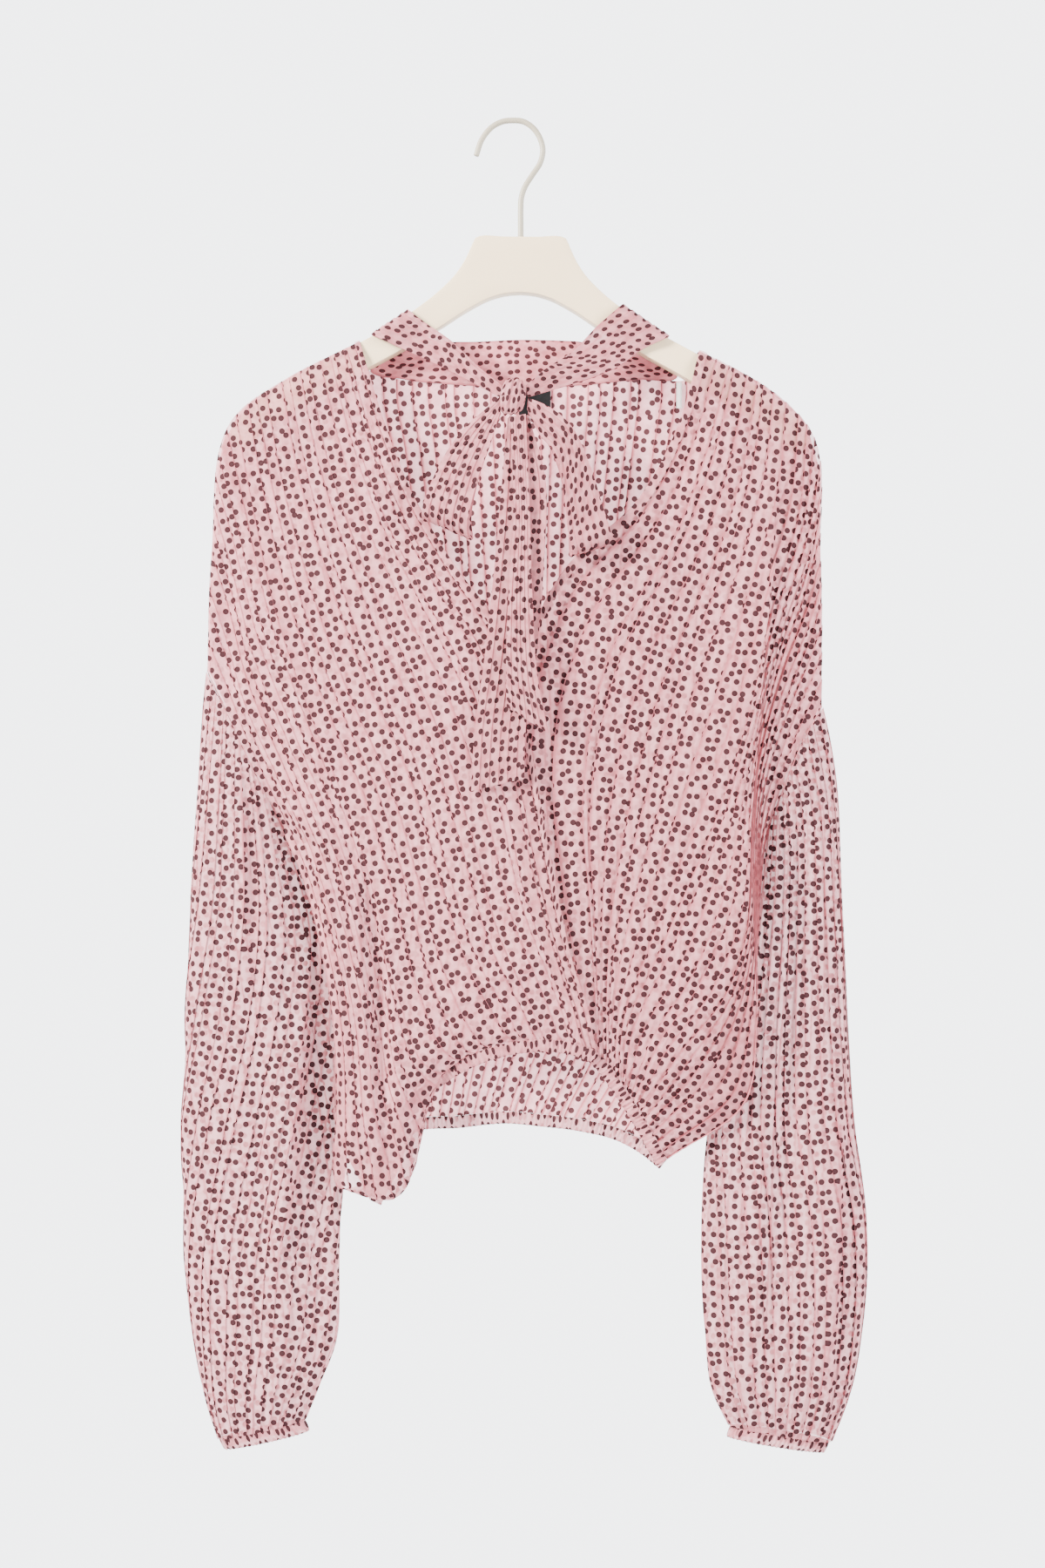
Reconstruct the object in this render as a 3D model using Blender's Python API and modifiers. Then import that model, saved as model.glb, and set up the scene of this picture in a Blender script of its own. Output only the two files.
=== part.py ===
"""A sheer pleated tie neck blouse with a wrap front, hung on a flat hanger.

The sizes are in millimetres and become metres in the mesh. X runs to the
wearer's left, Y to the back and Z up. The origin is the inside top of the
hanger's hook, where the hanger hangs, and Y = 0 is the middle of the board.
Right and left are the wearer's.
"""

import bpy
from math import cos, pi, radians, sin
from mathutils import Matrix, Vector

MM = 0.001
RIGHT, LEFT = -1, 1
FRONT, BACK = -1, 1

# Cloth
WALL = 1.2
DOUBLE_WALL = 1.6
PLEAT_HEIGHT = 1.3
PLEAT_SLOPE = 0.22
CREST = 0.72
SEAM_GAP = 0.8
SEAM_DEPTH = 0.9

# Hanger
HANGER_MIDDLE = 6.3
HANGER_THICK = 12.0
HANGER_EDGE = 1.5
HANGER_TILT = 0.4
HANGER_CROWN = -83.5
WIRE = 3.6
WIRE_SEAT = 0.3

# Elastic casings at the waist and the wrists
CASING = 9.0
CASING_THICK = 2.0
GATHER_HEIGHT = 0.8

# How a sheet leaves its shoulder seam over the hanger's arm: drop, depth
OVER_ARM = ((0.0, SEAM_DEPTH), (1.0, 6.9), (7.0, 8.6))


# Blender's scene, names and materials

def clear_scene():
    """Removes what the default file holds."""
    for item in list(bpy.data.objects):
        bpy.data.objects.remove(item, do_unlink=True)


def collection_named(name):
    """A new collection in the scene."""
    group = bpy.data.collections.new(name)
    bpy.context.scene.collection.children.link(group)
    return group


def material_named(name, colour, roughness, metallic=0.0):
    """A Principled material of one colour."""
    material = bpy.data.materials.new(name)
    material.use_nodes = True
    shader = material.node_tree.nodes["Principled BSDF"]
    shader.inputs["Base Color"].default_value = (*colour, 1.0)
    shader.inputs["Roughness"].default_value = roughness
    shader.inputs["Metallic"].default_value = metallic
    return material


CHIFFON_PINK = (0.78, 0.57, 0.59)
HANGER_CREAM = (0.80, 0.76, 0.67)
WIRE_CREAM = (0.72, 0.68, 0.60)
LABEL_BLACK = (0.02, 0.02, 0.02)
RIBBON_WHITE = (0.85, 0.82, 0.81)


def finish(item, name, colour, roughness=0.8, metallic=0.0):
    """Names an object, gives it a material of its own and files it with the blouse."""
    item.name = name
    item.data.name = name
    item.data.materials.clear()
    item.data.materials.append(material_named(name + "_finish", colour, roughness, metallic))
    for group in list(item.users_collection):
        group.objects.unlink(item)
    blouse.objects.link(item)
    return item


# Smooth curves and sheets

def even_places(count):
    """Where even steps start on a span, as fractions."""
    return [step / count for step in range(count)]


def pleat_places(count):
    """Where the valley and the crest of each pleat lie on a span, as fractions."""
    places = []
    for pleat in range(count):
        places += [pleat / count, (pleat + CREST) / count]
    return places


def smooth_curve(points, places):
    """Points on a smooth curve through the given ones; places has the fractions for each span."""
    points = [Vector(point) for point in points]
    spans = [max((b - a).length, 0.01) for a, b in zip(points, points[1:])]
    slopes = [(b - a) / span for a, b, span in zip(points, points[1:], spans)]
    tangents = [slopes[0]]
    for i in range(1, len(spans)):
        near, far = spans[i - 1], spans[i]
        tangents.append((slopes[i - 1] * far + slopes[i] * near) / (near + far))
    tangents.append(slopes[-1])
    curve = []
    for i, fractions in enumerate(places):
        leaving, arriving = tangents[i] * spans[i], tangents[i + 1] * spans[i]
        for t in fractions:
            curve.append(hermite(points[i], points[i + 1], leaving, arriving, t))
    curve.append(points[-1])
    return curve


def hermite(start, end, leaving, arriving, t):
    """A point at t between two points with the given tangents."""
    rise = t * t * (3 - 2 * t)
    return (start * (1 - rise) + end * rise
            + leaving * (t * (1 - t) ** 2) - arriving * (t * t * (1 - t)))


def smooth_sheet(rows, row_steps, column_places):
    """A grid of points on a smooth sheet through a table of rows."""
    down = [even_places(steps) for steps in row_steps]
    guides = [smooth_curve(column, down) for column in zip(*rows)]
    return [smooth_curve(row, column_places) for row in zip(*guides)]


def normal_at(grid, i, j, closed):
    """The sheet's normal at row i and column j; a closed sheet's columns run round."""
    last_row, last = len(grid) - 1, len(grid[0]) - 1
    up, down = grid[max(i - 1, 0)][j], grid[min(i + 1, last_row)][j]
    if closed:
        before, after = grid[i][(j - 1) % last], grid[i][(j + 1) % last]
    else:
        before, after = grid[i][max(j - 1, 0)], grid[i][min(j + 1, last)]
    return (after - before).cross(up - down).normalized()


def pleated(grid, outward, plain_rows=1, closed=False):
    """Lifts every other column of a sheet into sharp pleats on the side it faces."""
    lifted = [list(row) for row in grid]
    for i, row in enumerate(grid):
        if i < plain_rows:
            continue
        for j in range(1, len(row) - 1, 2):
            pleat = (row[j + 1] - row[j - 1]).length
            height = min(PLEAT_HEIGHT, PLEAT_SLOPE * pleat)
            lifted[i][j] = row[j] + normal_at(grid, i, j, closed) * height * outward
    return lifted


def folded(grid, folds, side):
    """Adds the large soft folds of a table to a sheet; side is FRONT or BACK."""
    return [[point + Vector((0, side * fold_height(point, folds), 0)) for point in row] for row in grid]


# How far a step's steep side reaches, how far a fold fades past its ends, and how softly
STEP_EDGE = 9.0
FOLD_FADE = 0.15
FOLD_SOFTNESS = 0.6


def fold_height(point, folds):
    """How far the folds push a point out of the sheet."""
    here = Vector((point.x, point.z))
    height = 0.0
    for fold in folds:
        start, end = Vector(fold["start"]), Vector(fold["end"])
        line = end - start
        along = (here - start).dot(line) / line.length_squared
        if not -FOLD_FADE < along < 1 + FOLD_FADE:
            continue
        across = (here - start).cross(line.normalized())
        fade = sin(pi * (along + FOLD_FADE) / (1 + 2 * FOLD_FADE)) ** FOLD_SOFTNESS
        width = fold["width"]
        if fold["kind"] == "step":
            shape = max(0.0, 1 - across / width) ** 2 if across >= 0 else max(0.0, 1 + across / STEP_EDGE)
        else:
            shape = cos(pi / 2 * across / width) ** 2 if abs(across) < width else 0.0
        height += fold["height"] * fade * shape
    return height


def cloth_object(grid, thickness, closed=False):
    """A mesh grid shaped to the points, with a wall of the given thickness."""
    rows, columns = len(grid), len(grid[0])
    bpy.ops.mesh.primitive_grid_add(x_subdivisions=columns - 1, y_subdivisions=rows - 1, size=1.0)
    item = bpy.context.object
    for vertex, point in zip(item.data.vertices, [point for row in grid for point in row]):
        vertex.co = point * MM
    if closed:
        weld = item.modifiers.new("Close", "WELD")
        weld.merge_threshold = 0.00001
    wall = item.modifiers.new("Wall", "SOLIDIFY")
    wall.thickness = thickness * MM
    wall.offset = 0.0
    return item


# The hanger: a flat board and its wire hook

# Columns: distance from the middle, height
HANGER_TOP = ((31.5, HANGER_CROWN), (33, -85), (36, -91.8), (39, -98.5), (46.5, -110.5), (57, -121.5),
              (75, -136), (98, -151), (118, -162), (143, -175), (165, -186.5), (186, -201.5), (200, -214),
              (207, -224))
HANGER_TIP = ((208.5, -229), (206, -235), (200, -237))
HANGER_UNDERSIDE = ((186, -225), (165, -211), (143, -198), (118, -183.5), (87, -166.5), (57, -148.5),
                    (37, -135.5), (20, -127), (0, -123.5))

# Columns: x, z from the open tip, over the top and down to the board
HOOK_PATH = ((-26, -24), (-21.5, -11.5), (-14, -2.6), (-6, 1.2), (0, 1.8), (8, 1), (15, -3.4), (20, -10.6),
             (22.3, -19.5), (20.6, -28.4), (14.5, -38), (9.3, -46.4), (6.8, -54), (6.3, -62))


def hanger_tilt():
    """The small lean of the whole board, about the foot of the hook."""
    foot = Vector((HANGER_MIDDLE, 0, HANGER_CROWN)) * MM
    lean = Matrix.Rotation(radians(HANGER_TILT), 4, "Y")
    return Matrix.Translation(foot) @ lean @ Matrix.Translation(-foot)


def hanger_board():
    """The board: half an outline, mirrored, cut from a 12 mm sheet with eased edges."""
    half = HANGER_TOP + HANGER_TIP + HANGER_UNDERSIDE
    outline = list(half) + [(-u, z) for u, z in reversed(half[:-1])]
    curve = bpy.data.curves.new("hanger_board", "CURVE")
    curve.dimensions = "2D"
    curve.fill_mode = "BOTH"
    curve.extrude = (HANGER_THICK / 2 - HANGER_EDGE) * MM
    curve.bevel_depth = HANGER_EDGE * MM
    curve.bevel_resolution = 0
    curve.offset = -HANGER_EDGE * MM
    spline = curve.splines.new("POLY")
    spline.points.add(len(outline) - 1)
    for place, (u, z) in zip(spline.points, outline):
        place.co = ((HANGER_MIDDLE + u) * MM, z * MM, 0, 1)
    spline.use_cyclic_u = True
    item = bpy.data.objects.new("hanger_board", curve)
    bpy.context.scene.collection.objects.link(item)
    item.matrix_world = hanger_tilt() @ Matrix.Rotation(radians(90), 4, "X")
    return finish(item, "hanger_board", HANGER_CREAM, roughness=0.5)


def hanger_hook():
    """The wire: round over the top and down into the middle of the board."""
    foot = (HANGER_MIDDLE, 0, HANGER_CROWN + WIRE_SEAT)
    route = [(x, 0, z) for x, z in HOOK_PATH]
    points = smooth_curve(route, [even_places(1)] * (len(route) - 1)) + [Vector(foot)]
    curve = bpy.data.curves.new("hanger_hook", "CURVE")
    curve.dimensions = "3D"
    curve.bevel_depth = WIRE / 2 * MM
    curve.bevel_resolution = 2
    curve.use_fill_caps = True
    spline = curve.splines.new("POLY")
    spline.points.add(len(points) - 1)
    for place, point in zip(spline.points, points):
        place.co = (*(point * MM), 1)
    item = bpy.data.objects.new("hanger_hook", curve)
    bpy.context.scene.collection.objects.link(item)
    return finish(item, "hanger_hook", WIRE_CREAM, roughness=0.35, metallic=0.6)


# The fronts: rows from the shoulder seam down to the elastic

# Columns: wrap edge, neck side, mid shoulder, shoulder tip, outer fold, armhole and side seam
RIGHT_SEAM = ((-110, -158), (-132, -169), (-161, -184), (-198, -210), (-217, -314), (-220, -396))
FRONT_RIGHT = {
    "collarbone": ((-93, -9.5, -214), (-118, -10, -226), (-150, -10, -245), (-186, -10, -277),
                   (-205, -9, -352), (-205, -9.9, -428)),
    "upper chest": ((-71, -10, -270), (-96, -11, -289), (-128, -11, -321), (-169, -12, -355),
                    (-191, -11, -405), (-189, -10.7, -462)),
    "chest": ((-43, -11, -318), (-68, -13, -346), (-103, -13, -390), (-142, -13, -434),
              (-164, -12, -468), (-167.5, -1.1, -508)),
    "crossing": ((-10, -14, -364), (-37, -16, -409), (-71, -16, -459), (-112, -17, -510),
                 (-137, -17, -530), (-153, -1, -541)),
    "below the bow": ((11, -16, -440), (-11, -17, -491), (-46, -18, -541), (-93, -19, -579),
                      (-118, -21, -592), (-139, 0.5, -588)),
    "midriff": ((26, -17, -522), (6, -18, -566), (-25, -19, -604), (-79, -20, -636),
                (-105, -24, -652), (-128, 2, -655)),
    "waist": ((44, -18, -607), (28, -18, -623), (-2, -18, -645), (-59, -20, -680),
              (-100, -23, -722), (-126, 2, -724)),
    "elastic": ((61, -15, -669), (42, -14, -663), (8, -13, -662), (-43, -12, -679),
                (-84, -10, -724), (-103, -1.2, -779)),
}
RIGHT_PLEATS = (3, 4, 5, 6, 5)
RIGHT_FOLDS = (
    {"kind": "ridge", "start": (-139, -545), "end": (-112, -755), "width": 15, "height": 5},
    {"kind": "ridge", "start": (-100, -560), "end": (-88, -700), "width": 12, "height": -4},
    {"kind": "ridge", "start": (-171, -488), "end": (-123, -523), "width": 8, "height": 3},
    {"kind": "ridge", "start": (-60, -640), "end": (25, -600), "width": 12, "height": 3},
)

LEFT_SEAM = ((135, -165), (156, -175), (183, -190.5), (213, -218), (223, -314), (224, -422))
FRONT_LEFT = {
    "collarbone": ((124, -9.5, -207), (143, -10, -226), (176, -10, -245), (207, -10, -283),
                   (212, -9, -352), (213, -9.2, -441)),
    "upper chest": ((93, -10, -270), (121, -10.5, -289), (160, -11, -307), (191, -12, -340),
                    (197, -11, -390), (200, -10.6, -470)),
    "chest": ((36, -10, -326), (69, -11, -385), (118, -12, -421), (162, -15, -456),
              (174, -13, -485), (184, -1.1, -519)),
    "crossing": ((15, -10, -365), (55, -11, -440), (102, -13, -478), (145, -17, -507),
                 (171, -21, -534), (179, -10, -560)),
    "below the bow": ((2, -10, -434), (50, -11, -497), (88, -13, -532), (124, -18, -557),
                      (167, -24, -582), (176, -14.5, -605)),
    "midriff": ((4, -10, -516), (55, -11, -560), (76, -13, -592), (102, -17, -607),
                (151, -24, -629), (175, -16, -650)),
    "waist": ((26, -10, -604), (59, -11, -620), (71, -12, -636), (84, -14, -648),
              (118, -20, -670), (164, -17, -702)),
    "elastic": ((52, -9, -662), (61.5, -9.5, -671), (70, -10, -680), (79, -10, -693),
                (92, -9, -713), (112, -4, -749)),
}
LEFT_PLEATS = (3, 4, 4, 6, 6)
LEFT_FOLDS = (
    {"kind": "step", "start": (190, -290), "end": (174, -560), "width": 55, "height": 9},
    {"kind": "ridge", "start": (168, -690), "end": (112, -735), "width": 12, "height": 3},
    {"kind": "ridge", "start": (150, -600), "end": (90, -668), "width": 9, "height": -2},
)
UNDERARM_ROW = 2


def over_the_arm(seam, below, side):
    """Three rows that carry a sheet from its seam over the edge of the arm."""
    rows = []
    for drop, depth in OVER_ARM:
        row = []
        for (x, z), under in zip(seam, below):
            along = Vector((under[0] - x, 0, under[2] - z)).normalized()
            row.append(Vector((x, side * depth, z)) + along * drop)
        rows.append(row)
    return rows


def front_grid(seam, table, pleats, folds):
    """One front: over the hanger's arm from its seam, then down through the table's rows."""
    body = list(table.values())
    over = over_the_arm(seam, body[0], FRONT)
    places = [pleat_places(count) for count in pleats]
    top = [smooth_curve(row, places) for row in over[:2]]
    below = smooth_sheet([over[2]] + body, [1] * len(body), places)
    facing = 1 if seam[0][0] < seam[-1][0] else -1
    return pleated(top + folded(below, folds, FRONT), facing, plain_rows=2)


# The back: one panel between the two side seams

# Columns: x, depth, z along the neck seam, from shoulder to shoulder
BACK_NECK = ((-109, 7.9, -159.6), (-106, 9, -176), (-93, 9.5, -181), (-40, 9.5, -186), (8, 9.5, -188),
             (54, 9.5, -186), (96, 9.5, -182), (129, 9, -182), (133.6, 7.9, -166.4))
BACK_PLEATS = (1, 1, 3, 4, 1, 1, 1, 5, 4, 4, 4, 3, 1, 1, 4, 2, 1, 1)
BACK_HEM = ((-103, 2.0, -779), (-92, 6, -757), (-77, 8, -725), (-37, 9, -719), (-2, 9, -716), (20, 9, -718),
            (52, 9, -722), (80, 7, -729), (99, 3, -739), (112, -1.2, -749))
BACK_DEPTH = 9.5
BACK_BELLY = 3.5
BACK_TURN = 0.16
NECK_ROWS = (0, 4, 9)
NECK_PULL = 2.5
HEM_PULL = 3


def back_side(table, seam_rows):
    """The back's edge beside one front: level with its armhole, then close behind its side seam."""
    edge = []
    for i, row in enumerate(table.values()):
        x, y, z = row[-1]
        edge.append(Vector((x, -y if i < UNDERARM_ROW else y + 2 * SEAM_DEPTH, z)))
    return [seam_rows[2][-1]] + edge


def back_top(right, left):
    """The back's top rows, each in runs that meet at the corners of the neck."""
    places = [pleat_places(count) for count in BACK_PLEATS]
    rows = []
    for i, drop in enumerate(NECK_ROWS):
        neck = [Vector((x, y, z - drop)) for x, y, z in BACK_NECK]
        right_shoulder = without_neck_side(right[i])[::-1]
        left_shoulder = without_neck_side(left[i])
        right_link, left_link = [right_shoulder[-1], neck[0]], [neck[-1], left_shoulder[0]]
        runs = (right_shoulder, right_link, neck, left_link, left_shoulder)
        row, first = [], 0
        for run in runs:
            spans = len(run) - 1
            row = row[:-1] + smooth_curve(run, places[first:first + spans])
            first += spans
        rows.append(row)
    return rows


def eased(t):
    """A fraction from 0 to 1 that starts and ends gently."""
    t = min(max(t, 0.0), 1.0)
    return t * t * (3 - 2 * t)


def back_grid():
    """The back, blended between its seams, its neck and its hem, and drawn in low down."""
    right = over_the_arm(RIGHT_SEAM, FRONT_RIGHT["collarbone"], BACK)
    left = over_the_arm(LEFT_SEAM, FRONT_LEFT["collarbone"], BACK)
    top = back_top(right, left)
    right_edge, left_edge = back_side(FRONT_RIGHT, right), back_side(FRONT_LEFT, left)
    shares = column_shares(BACK_PLEATS)
    hem = resampled([Vector(point) for point in BACK_HEM], shares)
    rows = []
    last = len(right_edge) - 1
    for i in range(1, last + 1):
        down = i / last
        row = []
        for share, above, below in zip(shares, top[-1], hem):
            point = right_edge[i].lerp(left_edge[i], share)
            from_top = above - top[-1][0].lerp(top[-1][-1], share)
            from_hem = below - hem[0].lerp(hem[-1], share)
            x = point.x + from_top.x * (1 - down) ** NECK_PULL + from_hem.x * down ** HEM_PULL
            z = point.z + from_top.z * (1 - down) + from_hem.z * down
            turn = eased(min(share, 1 - share) / BACK_TURN)
            y = point.y + (BACK_DEPTH + BACK_BELLY * sin(pi * down) - point.y) * turn
            row.append(Vector((x, below.y if i == last else y, z)))
        rows.append(row)
    return pleated(top + rows, -1, plain_rows=2)


def without_neck_side(row):
    """A shoulder row less its second point, which only the fronts need."""
    return [row[0]] + row[2:]


def column_shares(pleats):
    """How far across a panel each column lies, with all pleats of one width."""
    return pleat_places(sum(pleats)) + [1.0]


def resampled(points, shares):
    """Points at the given shares of the length of a smooth curve."""
    fine = smooth_curve(points, [even_places(16)] * (len(points) - 1))
    lengths = [0.0]
    for a, b in zip(fine, fine[1:]):
        lengths.append(lengths[-1] + (b - a).length)
    result, i = [], 0
    for share in shares:
        target = share * lengths[-1]
        while i < len(fine) - 2 and lengths[i + 1] < target:
            i += 1
        step = (target - lengths[i]) / max(lengths[i + 1] - lengths[i], 0.0001)
        result.append(fine[i].lerp(fine[i + 1], min(max(step, 0.0), 1.0)))
    return result


# The sleeves: rings from the armhole to the elastic at the wrist

# Columns: outer edge x and z, inner edge x and z, middle depth, half depth, squareness
SLEEVE_RIGHT = {
    "armhole": (-221.3, -396.8, -168.8, -508.8, 0, 10.9, 2.0),
    "upper arm": (-227, -478, -157, -540, 0, 12, 2.2),
    "above the elbow": (-232, -560, -143, -585, 0, 13, 2.4),
    "elbow": (-236, -640, -134, -655, 0, 14, 2.6),
    "below the elbow": (-239, -730, -128, -735, 0, 15, 2.6),
    "forearm": (-237, -820, -123, -820, 0, 16, 2.4),
    "balloon": (-229, -885, -128, -882, 0, 16, 2.2),
    "above the wrist": (-220, -925, -136, -915, 0, 14, 2.0),
    "wrist": (-211, -951, -141, -935, 0, 9, 2.0),
}
SLEEVE_RIGHT_FOLDS = (
    {"kind": "step", "start": (-195, -475), "end": (-190, -610), "width": 20, "height": 5},
    {"kind": "ridge", "start": (-150, -560), "end": (-133, -800), "width": 14, "height": -6},
    {"kind": "ridge", "start": (-172, -560), "end": (-165, -880), "width": 14, "height": 4},
)
SLEEVE_LEFT = {
    "armhole": (225.3, -422.6, 186.4, -518.8, 0, 10.7, 2.0),
    "upper arm": (234, -470, 177, -560, 4, 10.5, 2.2),
    "above the elbow": (239, -560, 164, -612, 5, 12, 2.4),
    "elbow": (243, -650, 152, -672, 8, 13, 2.6),
    "below the elbow": (247, -720, 143, -732, 7, 14, 2.6),
    "forearm": (257, -800, 139, -800, 4, 16, 2.4),
    "balloon": (254, -865, 140, -870, 1, 16, 2.2),
    "above the wrist": (244, -918, 146, -918, 0, 14, 2.0),
    "wrist": (231, -953, 157, -941, 0, 9, 2.0),
}
SLEEVE_LEFT_FOLDS = (
    {"kind": "step", "start": (238, -680), "end": (227, -940), "width": 25, "height": 5},
    {"kind": "ridge", "start": (205, -560), "end": (195, -820), "width": 14, "height": -5},
    {"kind": "ridge", "start": (180, -700), "end": (170, -900), "width": 14, "height": 4},
)
SLEEVE_PLEATS = 26
RING_POINTS = 48
# How far each armhole bends inward, deepest a third of the way down
ARMHOLE_BOW = {RIGHT: 0.8, LEFT: 4.4}
BOW_PEAK = 27 / 4


def flat_ring(outer_x, outer_z, inner_x, inner_z, middle, half_depth, squareness):
    """A flattened ring between the sleeve's two edges: along the front and home by the back."""
    outer, inner = Vector((outer_x, middle, outer_z)), Vector((inner_x, middle, inner_z))
    ring = []
    for step in range(RING_POINTS + 1):
        angle = 2 * pi * step / RING_POINTS
        across = cos(angle)
        deep = (1 - abs(across) ** squareness) ** (1 / squareness)
        point = outer.lerp(inner, (1 - across) / 2)
        point.y += half_depth * deep * (FRONT if angle < pi else BACK)
        ring.append(point)
    return ring


def even_ring(row, pleats):
    """A ring's points at its pleats' valleys and crests, of one width all round."""
    return resampled(flat_ring(*row), pleat_places(pleats) + [1.0])


def bowed(ring, row, side):
    """The armhole's ring, bent towards the body to follow its curved seam."""
    outer, chord = Vector((row[0], row[1])), Vector((row[2] - row[0], row[3] - row[1]))
    inward = side * Vector((chord.y, -chord.x)).normalized() * ARMHOLE_BOW[side]
    result = []
    for point in ring:
        along = (Vector((point.x, point.z)) - outer).dot(chord) / chord.length_squared
        bend = inward * BOW_PEAK * along * (1 - along) ** 2
        result.append(point + Vector((bend.x, 0, bend.y)))
    return result


def sleeve_grid(table, folds, side):
    """One sleeve: pleated rings, with the folds raised on the front and echoed on the back."""
    rings = []
    for i, row in enumerate(table.values()):
        ring = even_ring(row, SLEEVE_PLEATS)
        if i == 0:
            ring = bowed(ring, row, side)
        else:
            middle = row[4]
            for point in ring:
                layer = FRONT if point.y < middle else BACK
                near_edge = min(1.0, abs(point.y - middle) / row[5])
                point.y += layer * fold_height(point, folds) * near_edge
        ring[-1] = ring[0].copy()
        rings.append(ring)
    return pleated(rings, -side, closed=True)


# Elastic casings, strips and bands

CUFF_DROP = {RIGHT: (0.43, -0.9), LEFT: (-0.40, -0.92)}
CUFF_DRAW = 0.94
CUFF_GAP = 1.3
CUFF_PLEATS = 20


def cuff_grid(table, side):
    """The elastic casing below a sleeve, as a short ring that follows its last row."""
    row = table["wrist"]
    drop = Vector((CUFF_DROP[side][0], 0, CUFF_DROP[side][1])).normalized()
    top = even_ring(row, CUFF_PLEATS)
    middle = sum(top[:-1], Vector()) / (len(top) - 1)
    rings = [[point + drop * CUFF_GAP for point in top],
             [middle + (point - middle) * CUFF_DRAW + drop * (CUFF_GAP + CASING) for point in top]]
    return gathered(rings, -side, closed=True)


def gathered(rings, outward, closed=False):
    """Small gathers in a casing, half as deep as its cloth is thick."""
    lifted = [list(row) for row in rings]
    for i, row in enumerate(rings):
        for j in range(1, len(row) - 1, 2):
            lifted[i][j] = row[j] + normal_at(rings, i, j, closed) * GATHER_HEIGHT * outward
    return lifted


def casing_grid(panel):
    """The elastic casing along the lower edge of a panel."""
    edge, above = panel[-1], panel[-2]
    rows = [[], []]
    last = len(edge) - 1
    for j, point in enumerate(edge):
        along = edge[min(j + 2, last)] - edge[max(j - 2, 0)]
        away = Vector((along.z, 0, -along.x)).normalized()
        if away.dot(point - above[j]) < 0:
            away.negate()
        rows[0].append(point + away * SEAM_GAP)
        rows[1].append(point + away * (SEAM_GAP + CASING))
    return rows


def strip_grid(sections, steps, pleats, outward):
    """A long strip through sections of two edge points, with pleats along its length."""
    places = [even_places(count) for count in steps]
    one_edge = smooth_curve([section[0] for section in sections], places)
    other_edge = smooth_curve([section[1] for section in sections], places)
    shares = pleat_places(pleats) + [1.0]
    grid = [[a.lerp(b, share) for share in shares] for a, b in zip(one_edge, other_edge)]
    return pleated(grid, outward, plain_rows=0)


# Columns: lower edge, upper edge; from over the right arm, behind the board, to over the left arm
NECKBAND_BACK = (
    ((-101, 0.9, -153.4), (-74, 0.9, -136)),
    ((-101, 7.4, -154.6), (-74, 7.4, -137.2)),
    ((-102, 9.2, -176), (-69, 9.2, -149)),
    ((-80, 9.6, -181.2), (-52, 9.6, -156)),
    ((-40, 9.6, -185.3), (-36, 9.6, -156.5)),
    ((8, 9.6, -187.3), (8, 9.6, -155)),
    ((54, 9.6, -185.3), (45, 9.6, -156)),
    ((92, 9.6, -181.3), (64, 9.6, -157)),
    ((118, 9.2, -180), (76, 9.2, -150)),
    ((113, 7.4, -156), (79, 7.4, -133.2)),
    ((113, 0.9, -154.6), (79, 0.9, -132)),
)
# Columns: lower edge, upper edge; from over the arm to the knot
STRAP_RIGHT = (
    ((-101, -0.9, -153.4), (-74, -0.9, -136)),
    ((-101, -7.4, -154.6), (-74, -7.4, -137.2)),
    ((-79, -9, -165), (-60, -9, -148)),
    ((-54, -12, -177), (-46, -12, -158)),
    ((-26, -17, -192), (-22, -17, -181)),
    ((-8.6, -20.5, -202), (-6.9, -20.5, -193.5)),
)
STRAP_LEFT = (
    ((113, -0.9, -154.6), (79, -0.9, -132)),
    ((113, -7.4, -156), (79, -7.4, -133.2)),
    ((93, -9, -166), (62, -9, -148)),
    ((77, -12, -178), (43, -12, -168)),
    ((36, -17, -194), (24, -17, -181)),
    ((11.6, -20.5, -202), (9.9, -20.5, -193.5)),
)
# Columns: outer edge, inner edge; from the knot, down the front, round the end and up behind
LOOP_RIGHT = (
    ((-8.5, -24, -202), (-7.8, -24, -211)),
    ((-38, -27, -230), (-15, -27, -236)),
    ((-54, -26, -256), (-24, -27, -262)),
    ((-64, -23.5, -286), (-30, -24, -301)),
    ((-63.5, -19.5, -288), (-28, -19.5, -303)),
    ((-59, -16, -282), (-24, -16, -290)),
    ((-44, -16, -250), (-16, -16, -252)),
    ((-9.4, -19, -206), (-7.6, -19, -213)),
)
LOOP_LEFT = (
    ((11.6, -24, -203), (10.9, -24, -211)),
    ((25, -27, -209), (20, -27, -230)),
    ((41, -28, -222), (31, -27.5, -243)),
    ((55, -27, -250), (37, -26.5, -272)),
    ((64, -25, -278), (40, -25, -298)),
    ((71, -22.5, -305), (43, -22.5, -314)),
    ((70, -18, -306), (42, -18, -315)),
    ((62, -15.5, -276), (36, -15.5, -290)),
    ((40, -15.5, -236), (22, -15.5, -246)),
    ((12.4, -19, -206), (11.4, -19, -213)),
)
# Columns: right edge, left edge; from the knot down
TAIL_FRONT = (
    ((-1, -24.2, -216.6), (10, -24.2, -214.6)),
    ((1, -25.5, -289), (13, -25.5, -289)),
    ((-3, -25, -352), (15, -25, -350)),
    ((-4, -24.6, -390), (18, -24.6, -398)),
    ((-4, -24.6, -423), (26, -24.6, -442)),
)
TAIL_BACK = (
    ((-3, -20.3, -216.6), (12, -20.3, -214.6)),
    ((-7, -21.2, -262), (24, -21.2, -262)),
    ((-12, -21.2, -318), (23, -21.2, -318)),
    ((-18, -21, -384), (18, -21, -384)),
    ((-24, -21, -445), (8, -21, -440)),
    ((-21, -21, -486), (6, -21, -471)),
)
BAND_PLEATS = 3

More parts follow.
